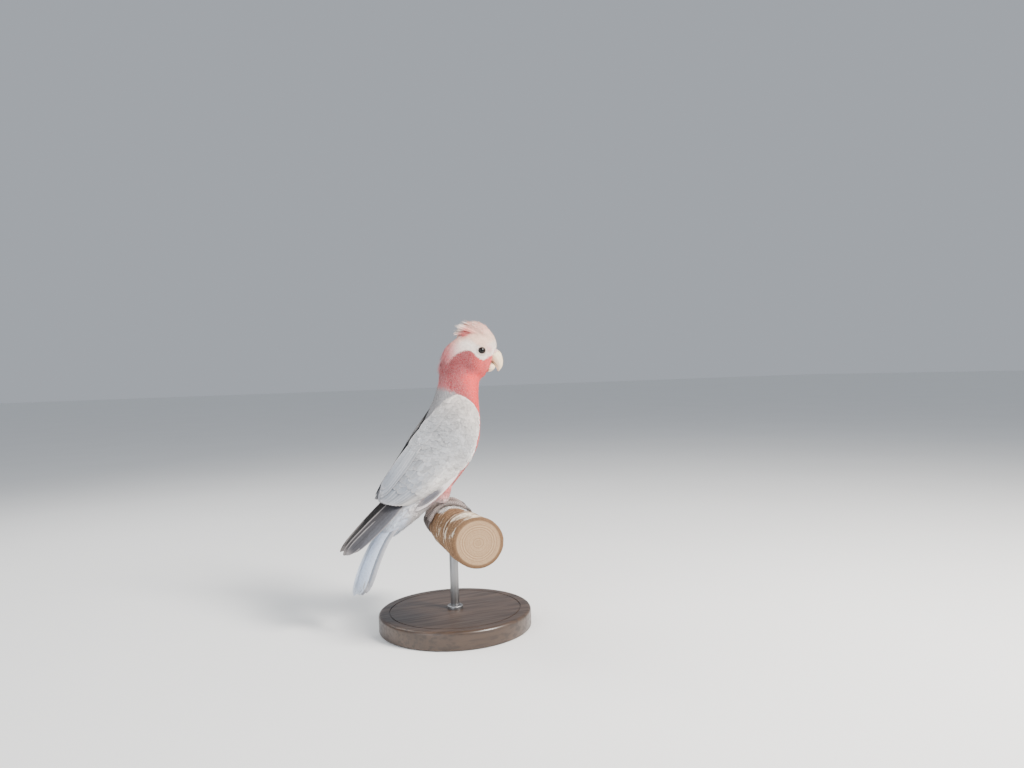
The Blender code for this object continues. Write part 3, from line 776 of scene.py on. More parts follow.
def grown_paths(starts, faces, lengths, swerves):
    """Stations and normals of vanes that follow the field over the skin."""
    mids = np.empty((len(starts), STATIONS, 3))
    ups = np.empty_like(mids)
    for i in range(len(starts)):
        p, face = Vector(starts[i]), faces[i]
        for k in range(STATIONS):
            n = Vector(FACE_NORMALS[face])
            mids[i, k], ups[i, k] = p, n
            if k + 1 < STATIONS:
                d = swerved(Vector(FACE_FLOW[face]), n, swerves[i])
                p, _, face, _ = SKIN_TREE.find_nearest(p + d * float(lengths[i] * (ALONG[k + 1] - ALONG[k])))
    ups[:, 1:] = unit(ups[:, 1:] + ups[:, :-1])
    return mids, ups


def grown_on(tree, roots, ways, lengths, swerves):
    """Stations and normals of vanes that point each their own way over any surface."""
    mids = np.empty((len(roots), STATIONS, 3))
    ups = np.empty_like(mids)
    for i in range(len(roots)):
        p, way = Vector(roots[i]), Vector(ways[i])
        for k in range(STATIONS):
            p, n, _, _ = tree.find_nearest(p)
            mids[i, k], ups[i, k] = p, n
            if k + 1 < STATIONS:
                p = p + swerved(way, n, swerves[i]) * float(lengths[i] * (ALONG[k + 1] - ALONG[k]))
    return mids, ups


def nape_share(q):
    return np.exp(-(((q[:, 0] - 3) / 10) ** 2 + ((q[:, 2] - 184) / 15) ** 2))


def ruffle(q):
    """How far tips stand out, in mm: most at the nape, a little on the crest and the vent."""
    crest = ease(q[:, 2], 207, 214) * 1.4
    vent = ease(q[:, 2], 16, 0) * ease(q[:, 0], -8, -30) * 1.2
    return nape_share(q) * 7.5 + crest + vent


def coat_layer(points, faces, uv, widths, width, length, lift, swerve, frost):
    """Every number of a layer's vanes, to be split into pieces; width, length and lift are for size 1."""
    keep = clear_roots(points)
    points, faces, uv = points[keep], faces[keep], uv[keep]
    q = straight(points)
    sizes = plume_size(q)
    n = len(q)
    by_tail = ease(-q[:, 0], 36, 52) * ease(q[:, 2], 14, 0)
    longer = 1 + 1.3 * nape_share(q) + by_tail
    lengths = length * sizes**0.85 * (1 + 0.35 * (rng.random(n) - 0.5)) * longer * MM
    mids, ups = grown_paths(points, faces, lengths, rng.normal(0, swerve, n))
    lifts = RISE * lift * (0.7 + 0.3 * sizes[:, None])
    lifts = lifts * (0.6 + 0.8 * rng.random((n, 1)))
    lifts = lifts + (ruffle(q) * rng.random(n) ** 1.6)[:, None] * RUFFLED
    mids = mids + ups * lifts[..., None] * MM
    halves = widths * (width * sizes[:, None]) * (1 + 0.2 * (rng.random((n, STATIONS)) - 0.5)) * MM
    thick = TAPER * 0.15 * MM * (0.5 + 0.4 * sizes[:, None]) * min(1.0, 0.6 + width / 2)
    base = plumage(q)[:, None] * (1 + rng.normal(0, 0.06, (n, 1, 1)))
    paler = FROSTED[:, None] * (0.2 + 0.8 * rng.random((n, 1, 1))) * frost
    neck_side = ease(q[:, 2], 128, 142) * ease(q[:, 2], 176, 160) * ease(q[:, 0], 44, 26)
    paler = paler * (1 + 0.9 * neck_side[:, None, None])
    return q, sizes, (mids, ups, halves, thick, base + (FROST - base) * paler, uv)


points, faces, uv = scattered(60000, 1.6)
kept = thinned(points, plume_size(straight(points)) * 0.9 * MM)
vanes = coat_layer(
    points[kept], faces[kept], uv[kept], np.array([0.5, 0.9, 1.0, 0.74, 0.2]),
    width=0.86, length=4.9, lift=0.7, swerve=0.12, frost=0.2,
)
fringe = coat_layer(
    *scattered(30000, 1.3), np.array([0.6, 1.0, 0.9, 0.55, 0.1]),
    width=0.34, length=5.2, lift=1.15, swerve=0.2, frost=0.34,
)
print(f"{len(vanes[0])} broad vanes and {len(fringe[0])} narrow ones over them")


def region_of(q):
    """The piece that each feather belongs to, by its place."""
    x, y, z = q.T
    names = np.full(len(q), "coat_back", dtype=object)
    front = x - np.interp(z, AXIS_Z, AXIS_X)
    names[front > 0] = "coat_breast"
    names[z < 40] = "coat_rump"
    names[(z < 28) & (x > -24)] = "coat_thighs"
    names[z > 112] = "coat_throat"
    names[(z > 112) & (front < 8)] = "coat_neck"
    names[z > 158] = "coat_cheeks"
    names[(z > 158) & (x < 30)] = "coat_nape"
    names[z > 186] = "coat_crown"
    names[z > 204] = "coat_crest"
    return names


SLOTS = {name: "grey_feathers" for name in ("coat_back", "coat_rump")}
SLOTS |= {name: "crown_feathers" for name in ("coat_crown", "coat_crest")}
for layer, (q, sizes, numbers) in (("vanes", vanes), ("fringe", fringe)):
    regions = region_of(q)
    for name in sorted(set(regions)):
        at = regions == name
        material = FINE_PLUMES if sizes[at].mean() < 1.3 else BODY_PLUMES
        own = (array[at] for array in numbers)
        piece = vane_mesh(f"{name}_{layer}", *own, SMALL_SECTION, material, sag=25.0)
        place(piece, SLOTS.get(name, "rose_feathers"))
        print(f"{name}_{layer}: {at.sum()} feathers, {len(triangles_of(piece.data)[0])} triangles")


# %% [markdown]
# ## The folded wings
# A folded wing shows its coverts in rows like roof tiles, from scale-like ones at the bend to longer ones
# behind, then the long inner flight feathers, which lie side by side. The rows could be scattered as on the
# body, but a wing reads by its order. So a chart of the wing is drawn first: one number runs from the bend
# to the rear, the other from its upper edge to its lower one, and every feather is laid in those two
# numbers.

# %% The chart of a wing
# upper edge x, z; lower edge x, z; how far out the upper edge, the middle and the lower edge lie
WING_CHART = np.array(
    [
        (23, 134, 34, 124, 27, 31, 29), (15, 136, 38, 112, 24.5, 37, 30),
        (5, 129, 37, 98, 22, 41, 32), (-5, 117.5, 33, 83, 19, 43, 34),
        (-16, 104, 28, 69, 16, 43.5, 34.5), (-28, 89, 19, 56, 14.5, 42.5, 34),
        (-51, 58.5, -12, 32, 11, 37, 30), (-62, 44.5, -28, 22, 9.5, 32.5, 27),
        (-79, 22, -60, 8, 8, 22, 18.5), (-84, 13.5, -74, 7, 8.5, 15.5, 14),
    ]
)


def smooth_line(rows, places):
    """A smooth curve through the rows at places counted in rows; it runs on past both ends."""
    padded = np.concatenate([[2 * rows[0] - rows[1]], rows, [2 * rows[-1] - rows[-2]]])
    i = np.clip(np.floor(places).astype(int), 0, len(rows) - 2)
    t = (places - i)[..., None]
    a, b, c, d = padded[i], padded[i + 1], padded[i + 2], padded[i + 3]
    curve = b + 0.5 * t * (c - a + t * (2 * a - 5 * b + 4 * c - d + t * (3 * (b - c) + d - a)))
    return np.where(t > 1, c + (t - 1) * (c - b), curve)


def reach_of(line):
    """How far along a line each of its points lies."""
    return np.concatenate([[0], np.cumsum(np.linalg.norm(np.diff(line, axis=0), axis=1))])


def wing_points(s, t, side):
    """Points of the wing's outer face in mm: s along it, t from its upper edge to its lower one."""
    row = smooth_line(WING_CHART, s)
    x = row[..., 0] + (row[..., 2] - row[..., 0]) * t
    z = row[..., 1] + (row[..., 3] - row[..., 1]) * t
    y = row[..., 4] * (1 - t) * (1 - 2 * t) + row[..., 5] * 4 * t * (1 - t) + row[..., 6] * t * (2 * t - 1)
    return np.stack([x, side * y, z], -1)


def wing_width(s):
    row = smooth_line(WING_CHART, s)
    return np.hypot(row[..., 2] - row[..., 0], row[..., 3] - row[..., 1])


FINE_S = np.linspace(0, 10, 401)
REACH = reach_of(wing_points(FINE_S, np.full(len(FINE_S), 0.5), 1))
print(f"wing: {np.interp(9, FINE_S, REACH):.0f} mm from the bend to the ends of the inner flight feathers")


def wing_colour(s, t):
    """The wing's grey: warm and pale at the bend, silver behind, with a whitish rim along the lower edge."""
    colour = blend(np.broadcast_to(WING_WARM, (*np.shape(s), 3)), WING_SILVER, ease(s, 1.0, 4.5))
    colour = blend(colour, WING_REAR, ease(s, 5.0, 7.5))
    clouds = np.sin(s * 2.3 + t * 5.0) * np.sin(t * 8.0 - s * 1.7 + 1.0)
    clouds = clouds + 0.6 * np.sin(s * 5.1 + 2.0) * np.sin(t * 15.0)
    colour = colour * (1 + 0.085 * clouds[..., None])
    rim = np.maximum(ease(s, 1.2, 0.2), ease(t, 0.84, 0.99))
    rim = np.maximum(rim, 0.95 * ease(t, 0.5, 0.8) * ease(s, 4.5, 6.0))
    return blend(colour, WING_RIM, rim * 0.8)


inside_wing = np.zeros(len(skin_points))
for i, p in enumerate(skin_points):
    for tree in WING_TREES:
        near, normal, _, _ = tree.find_nearest(Vector(p), 4 * MM)
        if near is not None and (Vector(p) - near).dot(normal) < 0:
            inside_wing[i] = 1
set_colour(skin.data, blend(plumage(straight(skin_points)), WING_WARM * 0.8, inside_wing))
print(f"{inside_wing.mean():.0%} of the skin's points lie under the wings' rows")


def skin_faces(points):
    """The skin's triangle nearest to each point."""
    return [SKIN_TREE.find_nearest(Vector(p))[2] for p in points]


def chart_vanes(name, side, s_root, t, reach, half, lifts, tilt, paler, kind, section=BROAD_SECTION):
    """
    One piece of vanes laid on the chart. reach, half: mm for each vane; lifts: mm along a vane; tilt: mm
    across it; paler: how far each station goes to the rim's colour; kind: stations, widths, thickness and
    material.
    """
    stations, widths, taper, material = kind
    start = np.interp(s_root, FINE_S, REACH)
    s = np.interp(start[:, None] + reach[:, None] * stations, REACH, FINE_S)
    across = section[:, 0]
    tt = t[:, None, None] + across * (widths * half[:, None])[..., None] / wing_width(s)[..., None]
    ss = np.broadcast_to(s[..., None], tt.shape)
    base = wing_points(ss, tt, side)
    out = unit(np.cross(wing_points(ss + 0.02, tt, side) - base, wing_points(ss, tt + 0.02, side) - base))
    out *= np.sign(out[..., 1:2]) * side
    colours = wing_colour(s, np.broadcast_to(t[:, None], s.shape))
    tones = 1 + rng.normal(0, 0.125, (len(t), 1, 1))
    colours = colours * tones + (WING_RIM - colours) * paler[:, None]
    rise = lifts[:, None] + tilt * across
    base = (base + out * rise[..., None]) * MM + GRIP
    mids = (base[:, :, across.argmax()] + base[:, :, across.argmin()]) / 2
    halves = widths * half[:, None] * MM
    thick = np.broadcast_to(taper * MM, halves.shape)
    patches = FACE_UV[skin_faces(mids[:, 1])]
    obj = vane_mesh(name, mids, unit(out.mean(2)), halves, thick, colours, patches, section, material)
    points = base + out * (section[:, 1] * thick[..., None])[..., None]
    set_coordinates(obj.data, points.reshape(-1, 3))
    face_outwards(obj.data)
    place(obj, "grey_feathers")
    print(f"{name}: {len(t)} feathers")


# %% [markdown]
# The rows follow in order from the rear to the bend, each one's tips over the next one's roots. The long
# inner flight feathers overlap sideways, the upper ones outermost, so each is tilted a little.

# %% Rows of coverts and the inner flight feathers
PLUME_STATIONS = np.array([0, 0.25, 0.5, 0.72, 0.88, 0.97, 1.0])
PLUME_WIDTHS = np.array([0.55, 0.85, 1.0, 0.98, 0.8, 0.45, 0.12])
PLUME_TAPER = np.array([0.8, 1, 1, 1, 0.8, 0.5, 0.2])
PLUME_KIND = (PLUME_STATIONS, PLUME_WIDTHS, 0.2 * PLUME_TAPER, COVERT_PLUMES)
LONG_STATIONS = np.array([0, 0.15, 0.3, 0.45, 0.6, 0.72, 0.83, 0.91, 0.965, 1.0])
LONG_WIDTHS = np.array([0.6, 0.8, 0.92, 1.0, 1.0, 0.98, 0.9, 0.72, 0.45, 0.12])
LONG_TAPER = np.array([1, 1, 1, 1, 1, 1, 0.9, 0.8, 0.6, 0.3])
LONG_KIND = (LONG_STATIONS, LONG_WIDTHS, 0.3 * LONG_TAPER, FLIGHT_PLUMES)
COVERT_PALER = np.array([0, 0, 0.02, 0.05, 0.12, 0.2, 0.28])
SHOULDER_PALER = np.array([0, 0, 0, 0.02, 0.05, 0.1, 0.16])
ROWS = (  # name, from, to, step, gap, slant, length, half width, rise at root and tip
    ("great_coverts", 69, 113, 7.0, 4.4, -6, 24, 3.8, (-0.5, 0.4)),
    ("middle_coverts", 50, 78, 4.2, 3.7, -4, 14, 3.0, (-0.75, 0.45)),
    ("small_coverts", -1, 57, 2.2, 2.8, 0, 8.6, 2.2, (-0.8, 0.42)),
)


def tile_rows(first, last, step_mm, gap, slant):
    """Staggered places on the chart from one reach to another: s and t for each feather."""
    s_all, t_all = [], []
    for row, reach in enumerate(np.arange(first, last, step_mm)):
        width = wing_width(np.array(np.interp(reach, REACH, FINE_S)))
        count = max(3, int(width / gap))
        t = (np.arange(count) + 0.25 + 0.5 * (row % 2)) / count
        t = 0.04 + 0.96 * t + rng.normal(0, 0.14 / count, count)
        places = reach + slant * (t - 0.5) + rng.normal(0, 0.35 * step_mm, count)
        s_all.append(np.interp(places, REACH, FINE_S))
        t_all.append(t)
    return np.concatenate(s_all), np.clip(np.concatenate(t_all), 0.02, 0.985)


for side, word in ((-1, "right"), (1, "left")):
    t = np.linspace(0.09, 0.9, 10)
    root = 82 + 10 * t
    reach = np.interp(t, [0, 0.25, 0.6, 1], [163, 162, 157, 146]) - root
    chart_vanes(
        f"inner_flight_{word}", side, np.interp(root, REACH, FINE_S), t, reach, np.full(len(t), 5.6),
        np.linspace(-1.2, -0.1, 10), 0.45, np.linspace(0, 0.12, 10), LONG_KIND,
    )
    for name, first, last, step_mm, gap, slant, length, half, rises in ROWS:
        s_root, t = tile_rows(first, last, step_mm, gap, slant)
        reach = length * (1 + rng.normal(0, 0.09, len(t)))
        chart_vanes(
            f"{name}_{word}", side, s_root, t, reach, half * (1 + rng.normal(0, 0.08, len(t))),
            np.interp(PLUME_STATIONS, [0, 1], rises), 0.1, COVERT_PALER, PLUME_KIND, SMALL_SECTION,
        )

    # long feathers of the shoulder lie along the upper edge and close the gap between wing and back;
    # on the left they lie a little further over the back
    starts, t = np.meshgrid(np.arange(7, 62, 4.4), np.array([-0.035, 0.0, 0.045]) - 0.02 * (side > 0))
    starts, t = starts.ravel() + rng.uniform(-2, 2, starts.size), t.ravel()
    chart_vanes(
        f"shoulder_{word}", side, np.interp(starts, REACH, FINE_S), t + rng.normal(0, 0.006, len(t)),
        np.interp(starts, [0, 60], [15, 27]), np.interp(starts, [0, 60], [2.4, 3.6]),
        np.interp(PLUME_STATIONS, [0, 1], [-0.2, 1.0]), 0.1, SHOULDER_PALER, PLUME_KIND,
    )
    t = np.array([-0.035, 0.005, 0.05]) - 0.015 * (side > 0)
    chart_vanes(
        f"inmost_flight_{word}", side, np.interp([70.0, 74.0, 78.0], REACH, FINE_S), t,
        np.array([78.0, 80.0, 80.0]), np.full(3, 3.8), np.linspace(0.6, 1.3, 10), 0.3,
        np.linspace(0, 0.1, 10), LONG_KIND,
    )


# %% [markdown]
# ## Long feathers
# The outer flight feathers, the tail and the crest stand free of the skin, so each gets its own line: a
# root, a tip and a bow between them. The vane is broad and thin with a raised shaft. A grid of the baking
# map holds them, because they are few and large.

# %% A set of long feathers
def grid_patches(count):
    """Centres and size of cells in the baking map, one for each long feather, side by side."""
    centres = np.stack([(np.arange(count) + 0.5) / count, np.full(count, 0.5)], -1)
    return centres, (0.9 / count, 0.94)


def bowed(root, control, tip, places):
    """Points on a curve from root to tip that is drawn towards the control point."""
    t = places[None, :, None]
    return (1 - t) ** 2 * root[:, None] + 2 * t * (1 - t) * control[:, None] + t**2 * tip[:, None]


def side_feathers(name, side, root, tip, bow, facing, half, thickness, colours):
    """One side's long feathers between roots and tips in mm; bow moves their middle, facing is their top."""
    mirror = np.array([1, side, 1])
    mids = bowed(root, (root + tip) / 2 + bow, tip, LONG_STATIONS) * mirror * MM + GRIP
    ups = np.broadcast_to(unit(facing * mirror), mids.shape)
    halves = np.broadcast_to(LONG_WIDTHS * half * MM, mids.shape[:2])
    thick = np.broadcast_to(thickness * MM * LONG_TAPER, mids.shape[:2])
    patches, size = grid_patches(len(mids))
    return vane_mesh(
        name, mids, ups, halves, thick, colours, patches, BROAD_SECTION, FLIGHT_PLUMES, patch_size=size
    )


# %% The lower panel of each wing, and the outer flight feathers
# the panel's dark grey is painted shade; its pale colour is the whitish lower edge
PANEL_PAINTED_SHADE, PANEL_PALE = linear(112, 112, 120), linear(250, 242, 243)
SLATE = linear(84, 84, 90)
SOOT = linear(40, 35, 34)
PANEL_COUNT, OUTER_COUNT = 4, 7

for side, word in ((-1, "right"), (1, "left")):
    f = np.linspace(0, 1, PANEL_COUNT)[:, None]
    root = np.array([12.0, 31.0, 52.0]) + f * np.array([-3.0, -1.5, -6.0])
    tip = np.array([-36.0, 25.5, 13.0]) + f * np.array([-4.5, -3.0, -7.0])
    bow, facing = np.array([3.0, 2.6, -3.5]), np.array([0.28, 0.93, -0.2])
    # the outer part of the upper panel feathers is darkened: painted shade of the wedge under the main wing's
    # lower edge
    pale = np.maximum(ease(f, 0.3, 0.7), ease(LONG_STATIONS, 0.62, 0.42))
    colours = blend(PANEL_PAINTED_SHADE, PANEL_PALE, pale) * (1 + rng.normal(0, 0.03, (*pale.shape, 1)))
    panel = side_feathers(f"wing_panel_{word}", side, root, tip, bow, facing, 4.2, 0.3, colours)
    place(panel, "grey_feathers")

    f = np.linspace(0, 1, OUTER_COUNT)[:, None]
    root = np.array([-60.0, 15.5, 20.0]) + f * np.array([3.5, 5.0, -6.0])
    tip = np.array([-121.0, 9.5, -37.5]) + f * np.array([8.5, 4.2, 2.2])
    tip = tip + np.sin(f * math.pi * 3) * np.array([1.2, 0, 1.0])
    bow, facing = np.array([-2.5, 3.0, -3.0]), np.array([-0.42, 0.80, 0.42])
    # the far bundle mixes in more of the dark colour: painted shade on the far side
    near = 1.0 if side < 0 else 0.35  # the far bundle is darker and browner: painted shade
    colours = SOOT + (SLATE - SOOT) * near * (0.3 + 0.7 * f[..., None]) * np.ones((len(LONG_STATIONS), 1))
    outer = side_feathers(f"outer_flight_{word}", side, root, tip, bow, facing, 6.6 - 1.2 * f, 0.34, colours)
    place(outer, "flight_feathers", f"primaries_{word}")
print(f"outer flight feathers: {OUTER_COUNT} to a side")

# %% [markdown]
# ## The tail
# Twelve feathers lie closed like a low roof, the middle pair on top. They could be one solid with grooves,
# but the edges catch light and cast thin shadows that only separate vanes give.

# %% The twelve tail feathers
TAIL_LINE = np.array([(-54, 6), (-79, -19), (-97, -50), (-110.5, -84)], float)
TAIL_BEIGE = linear(168, 162, 162)
TAIL_DARK = linear(92, 96, 106)
TAIL_COUNT = 12
TAIL_STATIONS = np.array([0, 0.12, 0.24, 0.36, 0.48, 0.6, 0.72, 0.82, 0.9, 0.96, 1.0])
TAIL_WIDTHS = np.array([0.55, 0.62, 0.7, 0.78, 0.86, 0.93, 1.0, 1.0, 0.88, 0.6, 0.22])
TAIL_TAPER = np.array([1, 1, 1, 1, 1, 1, 0.9, 0.9, 0.7, 0.5, 0.3])


def tail_line(places):
    """Points along the tail's middle line, by share of its length."""
    line = smooth_line(TAIL_LINE, np.linspace(0, 3, 61))
    reach = reach_of(line)
    at = places * reach[-1]
    return np.stack([np.interp(at, reach, line[:, 0]), 0 * at, np.interp(at, reach, line[:, 1])], -1)


line = tail_line(TAIL_STATIONS)
forward_dir = unit(np.gradient(line, axis=0))
above = np.cross(forward_dir, np.array([0.0, 1.0, 0.0]))
above *= np.sign(above[:, 2:3])
order = np.arange(TAIL_COUNT) - (TAIL_COUNT - 1) / 2
share = np.abs(order) / order[-1]
out_y = order[:, None] * (1.5 + 1.8 * TAIL_STATIONS)
drop = 9.0 * share[:, None] ** 1.5 * (0.9 + 0.1 * TAIL_STATIONS) + (0.5 * (order > 0))[:, None]
mids = line + np.stack([0 * out_y, out_y, 0 * out_y], -1) - above * drop[..., None]
mids = mids - forward_dir * (6.0 * share[:, None, None] ** 2 * TAIL_STATIONS[:, None])
mids = mids + rng.normal(0, 0.8, (TAIL_COUNT, 1, 1)) * forward_dir * TAIL_STATIONS[:, None]
slope = -np.sign(order) * 0.8 * share**0.7
ups = np.cross(forward_dir, unit(np.array([0.0, 1.0, 0.0]) + above * slope[:, None, None]))
ups *= np.sign((ups * above).sum(-1, keepdims=True))
halves = np.broadcast_to(TAIL_WIDTHS * 7.6 * MM, mids.shape[:2])
thick = np.broadcast_to(0.36 * MM * TAIL_TAPER, mids.shape[:2])
# a dark line where the tail's top meets its side feathers: painted shadow between the vanes
painted_shadow_line = 0.8 * np.exp(-(((share - 0.82) / 0.06) ** 2))
# the tail's top feathers are silver grey with painted skylight, bluish white
colours = blend(np.broadcast_to(TAIL_SILVER_SKYLIT, mids.shape), TAIL_DARK, painted_shadow_line[:, None])
colours = blend(colours, TAIL_BEIGE, 0.8 * ease(share, 0.85, 0.98)[:, None])
colours = blend(colours, TAIL_DARK, ease(TAIL_STATIONS, 0.78, 1.0) * 0.3)
patches, size = grid_patches(TAIL_COUNT)
tail = vane_mesh(
    "tail_fan", mids * MM + GRIP, ups, halves, thick, colours, patches, BROAD_SECTION, TAIL_PLUMES,
    patch_size=size,
)
place(tail, "tail_feathers", "tail")
print("tail:", len(triangles_of(tail.data)[0]), "triangles")

# %% [markdown]
# ## The crest
# The crest is half raised: long soft feathers rise from the forehead and crown, curve back, and end in pale
# curled tips with a deeper rose underside. They are the only feathers of the head that stand well clear, so
# they are laid one by one on curved lines over the short coat.

# %% Crest feathers
CREST_STATIONS = np.array([0, 0.2, 0.4, 0.58, 0.74, 0.87, 0.95, 1.0])
CREST_WIDTHS = np.array([0.45, 0.8, 0.97, 1.0, 0.92, 0.7, 0.42, 0.1])
CREST_TAPER = np.array([1, 1, 1, 1, 0.9, 0.7, 0.5, 0.3])
CREST_HEART = np.array([50.0, 0, 200.0])  # the plumes' upper faces look away from here


def crest_colours(mids, rear):
    """Pale feathers with a rose heart, deepest at the rear, and whitish tips."""
    places = np.linspace(0, 1, mids.shape[1])
    rose = ease(places, 0.2, 0.6) * ease(places, 0.98, 0.7) * (0.05 + 0.85 * rear**2)[:, None]
    colours = blend(plumage(mids) * (1 + rng.normal(0, 0.05, (len(mids), 1, 1))), CREST_ROSE, rose)
    return blend(colours, CROWN_WHITE, ease(places, 0.55, 0.88))


n = 130
u, v = 0.22 + 0.78 * rng.random(n), rng.uniform(-1, 1, n)
root = np.stack([68 - 22 * u, 5.5 * v * (1 - 0.2 * u), 199 + 6 * np.sin(u * 1.6)], -1)
control = np.stack([61 - 25 * u, 7.5 * v, 221.5 - 9 * u - 2.5 * v**2], -1)
tip_x = np.interp(u, [0, 0.3, 0.55, 0.8, 1], [38, 29.5, 25, 22.5, 23.5]) + rng.normal(0, 1.8, n)
tip_y = (4 + 4.0 * u) * v + rng.normal(0, 1.2, n)
tip_z = np.interp(u, [0, 0.3, 0.55, 0.8, 1], [224.5, 221.5, 216.5, 209.5, 204.5]) - 2.5 * v**2
tip = np.stack([tip_x, tip_y, tip_z + rng.normal(0, 1.2, n)], -1)
rear_plumes = bowed(root, control, tip, CREST_STATIONS)
rear_plumes[..., 2] += ease(CREST_STATIONS, 0.6, 1.0) * 3.2 * rng.uniform(-0.2, 1.3, (n, 1))

# the plumes of the forehead lie close to the crest's form and leave it only near their tips
points, faces, _ = scattered(26000, 0)
q = straight(points)
chosen = np.flatnonzero((q[:, 2] > 202) & (q[:, 0] > 43) & (q[:, 0] < 61) & (np.abs(q[:, 1]) < 8.5))
chosen = chosen[thinned(points[chosen], 1.5 * MM)]
root, way = q[chosen], turned(FACE_FLOW[faces[chosen]], -HEAD_TURN)
normal = turned(FACE_NORMALS[faces[chosen]], -HEAD_TURN)
way = unit(way - normal * (way * normal).sum(1, keepdims=True))
reach = (rng.uniform(7, 12, len(root)) + 3 * ease(root[:, 2], 200, 214))[:, None]
control = root + way * (reach * 0.5) + normal * 0.9
tip = root + way * reach - normal * (reach**2 / 55 - 0.9) + rng.normal(0, 0.5, root.shape)
front_plumes = bowed(root - normal * 0.8, control, tip, CREST_STATIONS)
for name, mids, rear, width in (
    ("crest_rear_plumes", rear_plumes, u, 1.7),
    ("crest_front_plumes", front_plumes, np.zeros(len(chosen)), 1.15),
):
    ups = turned(unit((mids - CREST_HEART) * np.array([1, 1.3, 1])), HEAD_TURN)
    halves = CREST_WIDTHS * width * rng.uniform(0.75, 1.15, (len(mids), 1)) * MM
    thick = np.broadcast_to(0.22 * MM * CREST_TAPER, halves.shape)
    patches = FACE_UV[skin_faces(posed(mids[:, 0]))]
    crest = vane_mesh(
        name, posed(mids), ups, halves, thick, crest_colours(mids, rear), patches, SMALL_SECTION, BODY_PLUMES,
        sag=30.0,
    )
    place(crest, "crown_feathers")
    print(f"{name}: {len(mids)} feathers")


# %% [markdown]
# ## The eyes
# A galah's eye is a dark glossy ball in a ring of bare, finely wrinkled pale skin. Only about 7.5 mm of the
# ball shows between the lids. The ball is a sphere turned so that its pole looks out; the colour depends on
# the distance from that pole, and a clear coat gives the wet highlight.

# %% Eye balls
EYE_RADIUS = 5.3 * MM
PUPIL_EDGE, IRIS_EDGE = (2.0, 2.25), (3.2, 3.9)  # mm from the pole, each a soft step
dark_iris, tree, shader = new_material(
    "dark_eye", Roughness=0.3, Coat_Weight=0.45, Coat_Roughness=0.03, Specular_IOR_Level=0.1
)
from_pole = value_of(tree, "from_pole")
iris = mixed(tree, mottled(tree, 2500.0, 2.0)["Value"], paint(16, 9, 7), paint(34, 20, 14))
iris = mixed(tree, step(tree, from_pole, *PUPIL_EDGE, 1.0, 0.0), iris, paint(5, 4, 4))
iris = mixed(tree, step(tree, from_pole, *IRIS_EDGE), iris, paint(10, 8, 7))
dress(tree, shader, iris)


def eye_frame(side):
    """The eye's middle, the way it looks, and two ways across that, in metres on the posed bird."""
    looks = turned(unit(np.array([0.16, -1 if side == "right" else 1, 0.06])), HEAD_TURN)
    first = unit(np.cross(looks, [0.0, 0.0, 1.0]))
    return EYE_CENTRES[side], looks, first, np.cross(looks, first)


for side in ("right", "left"):
    centre, looks, _, _ = eye_frame(side)
    ball = primitive(
        f"eyeball_{side}", bpy.ops.mesh.primitive_uv_sphere_add, segments=40, ring_count=24,
        radius=EYE_RADIUS, location=centre, rotation=Vector(looks).to_track_quat("Z", "Y").to_euler(),
    )
    bpy.ops.object.shade_smooth()
    pole = centre + looks * EYE_RADIUS
    set_value(ball.data, np.linalg.norm(coordinates(ball.data) - pole, axis=1) / MM, "from_pole")
    ball.data.materials.append(dark_iris)
    place(ball, "eye_glass", f"eye_{side}")


# %% [markdown]
# The lids are a ring turned round each eye's line of sight: a rim that hugs the ball, a low roll, and a
# shallow slope that runs in under the face's feathers. Fine wrinkles ring it. A revolved profile gives that
# at once.

# %% Lids and the bare ring
bare_skin, tree, shader = new_material("eyelid_skin", Roughness=0.7, Specular_IOR_Level=0.2)
pores = use_group(tree, SCALES, Vector=here(tree), Scale=2600.0)
tint = mixed(tree, mottled(tree, 500.0, 3.0)["Value"], paint(186, 164, 156), paint(216, 196, 186))
tint = mixed(tree, maths(tree, "MULTIPLY", pores["Edge"], 0.55), tint, paint(150, 122, 116))
tint = mixed(tree, value_of(tree, "near_rim"), tint, paint(66, 52, 49))
dress(tree, shader, tint, height=pores["Plate"], depth=0.12)

LID_PROFILE = [  # from the rim outwards: mm from the line of sight, and mm out along it
    (3.76, 3.8), (3.8, 4.0), (3.9, 4.1), (4.03, 4.04), (4.17, 3.82), (4.4, 3.5), (5.0, 3.05), (5.8, 2.45),
    (6.8, 1.6), (7.8, 0.5),
]
LID_BACK = [(7.0, 0.2), (5.5, 1.0), (4.3, 2.2), (3.8, 3.2)]
LID_CORNERS = 72
RING_EDGE = 4.3
lid_turns = np.linspace(0, math.tau, LID_CORNERS, endpoint=False)
lid_rings = {}
for side in ("right", "left"):
    centre, looks, first, second = eye_frame(side)
    around = np.cos(lid_turns)[:, None] * first + np.sin(lid_turns)[:, None] * second
    outline = LID_PROFILE + LID_BACK
    rings = []
    for k, (radius, height) in enumerate(outline):
        wrinkle = 0.09 * np.sin(lid_turns * 24 + k * 2.1) * (2 <= k <= 7)
        oval = radius * (1 + 0.06 * np.cos(2 * lid_turns) * (radius < 4.2))
        rings.append(centre + oval[:, None] * around * MM + (height + wrinkle)[:, None] * looks * MM)
    faces = ring_faces(len(rings), LID_CORNERS, closed=True)
    lids = closed_piece(f"lids_{side}", np.concatenate(rings), faces)
    lids.data.materials.append(bare_skin)
    radii = np.repeat([radius for radius, _ in outline], LID_CORNERS)
    set_value(lids.data, ease(radii, 4.3, 3.85), "near_rim")
    lid_rings[side] = lids
    place(lids, "crown_feathers")
print("eyes and lids made")

# %% [markdown]
# ## The bill
# The bill is horn: bone-coloured, matt at the root and satin towards the tip, with growth lines along the
# hook and a dark line where the halves meet. Its solids are right in form but faceted, so copies are
# remeshed finely and smoothed, and then the nostrils are pressed in by moving points.

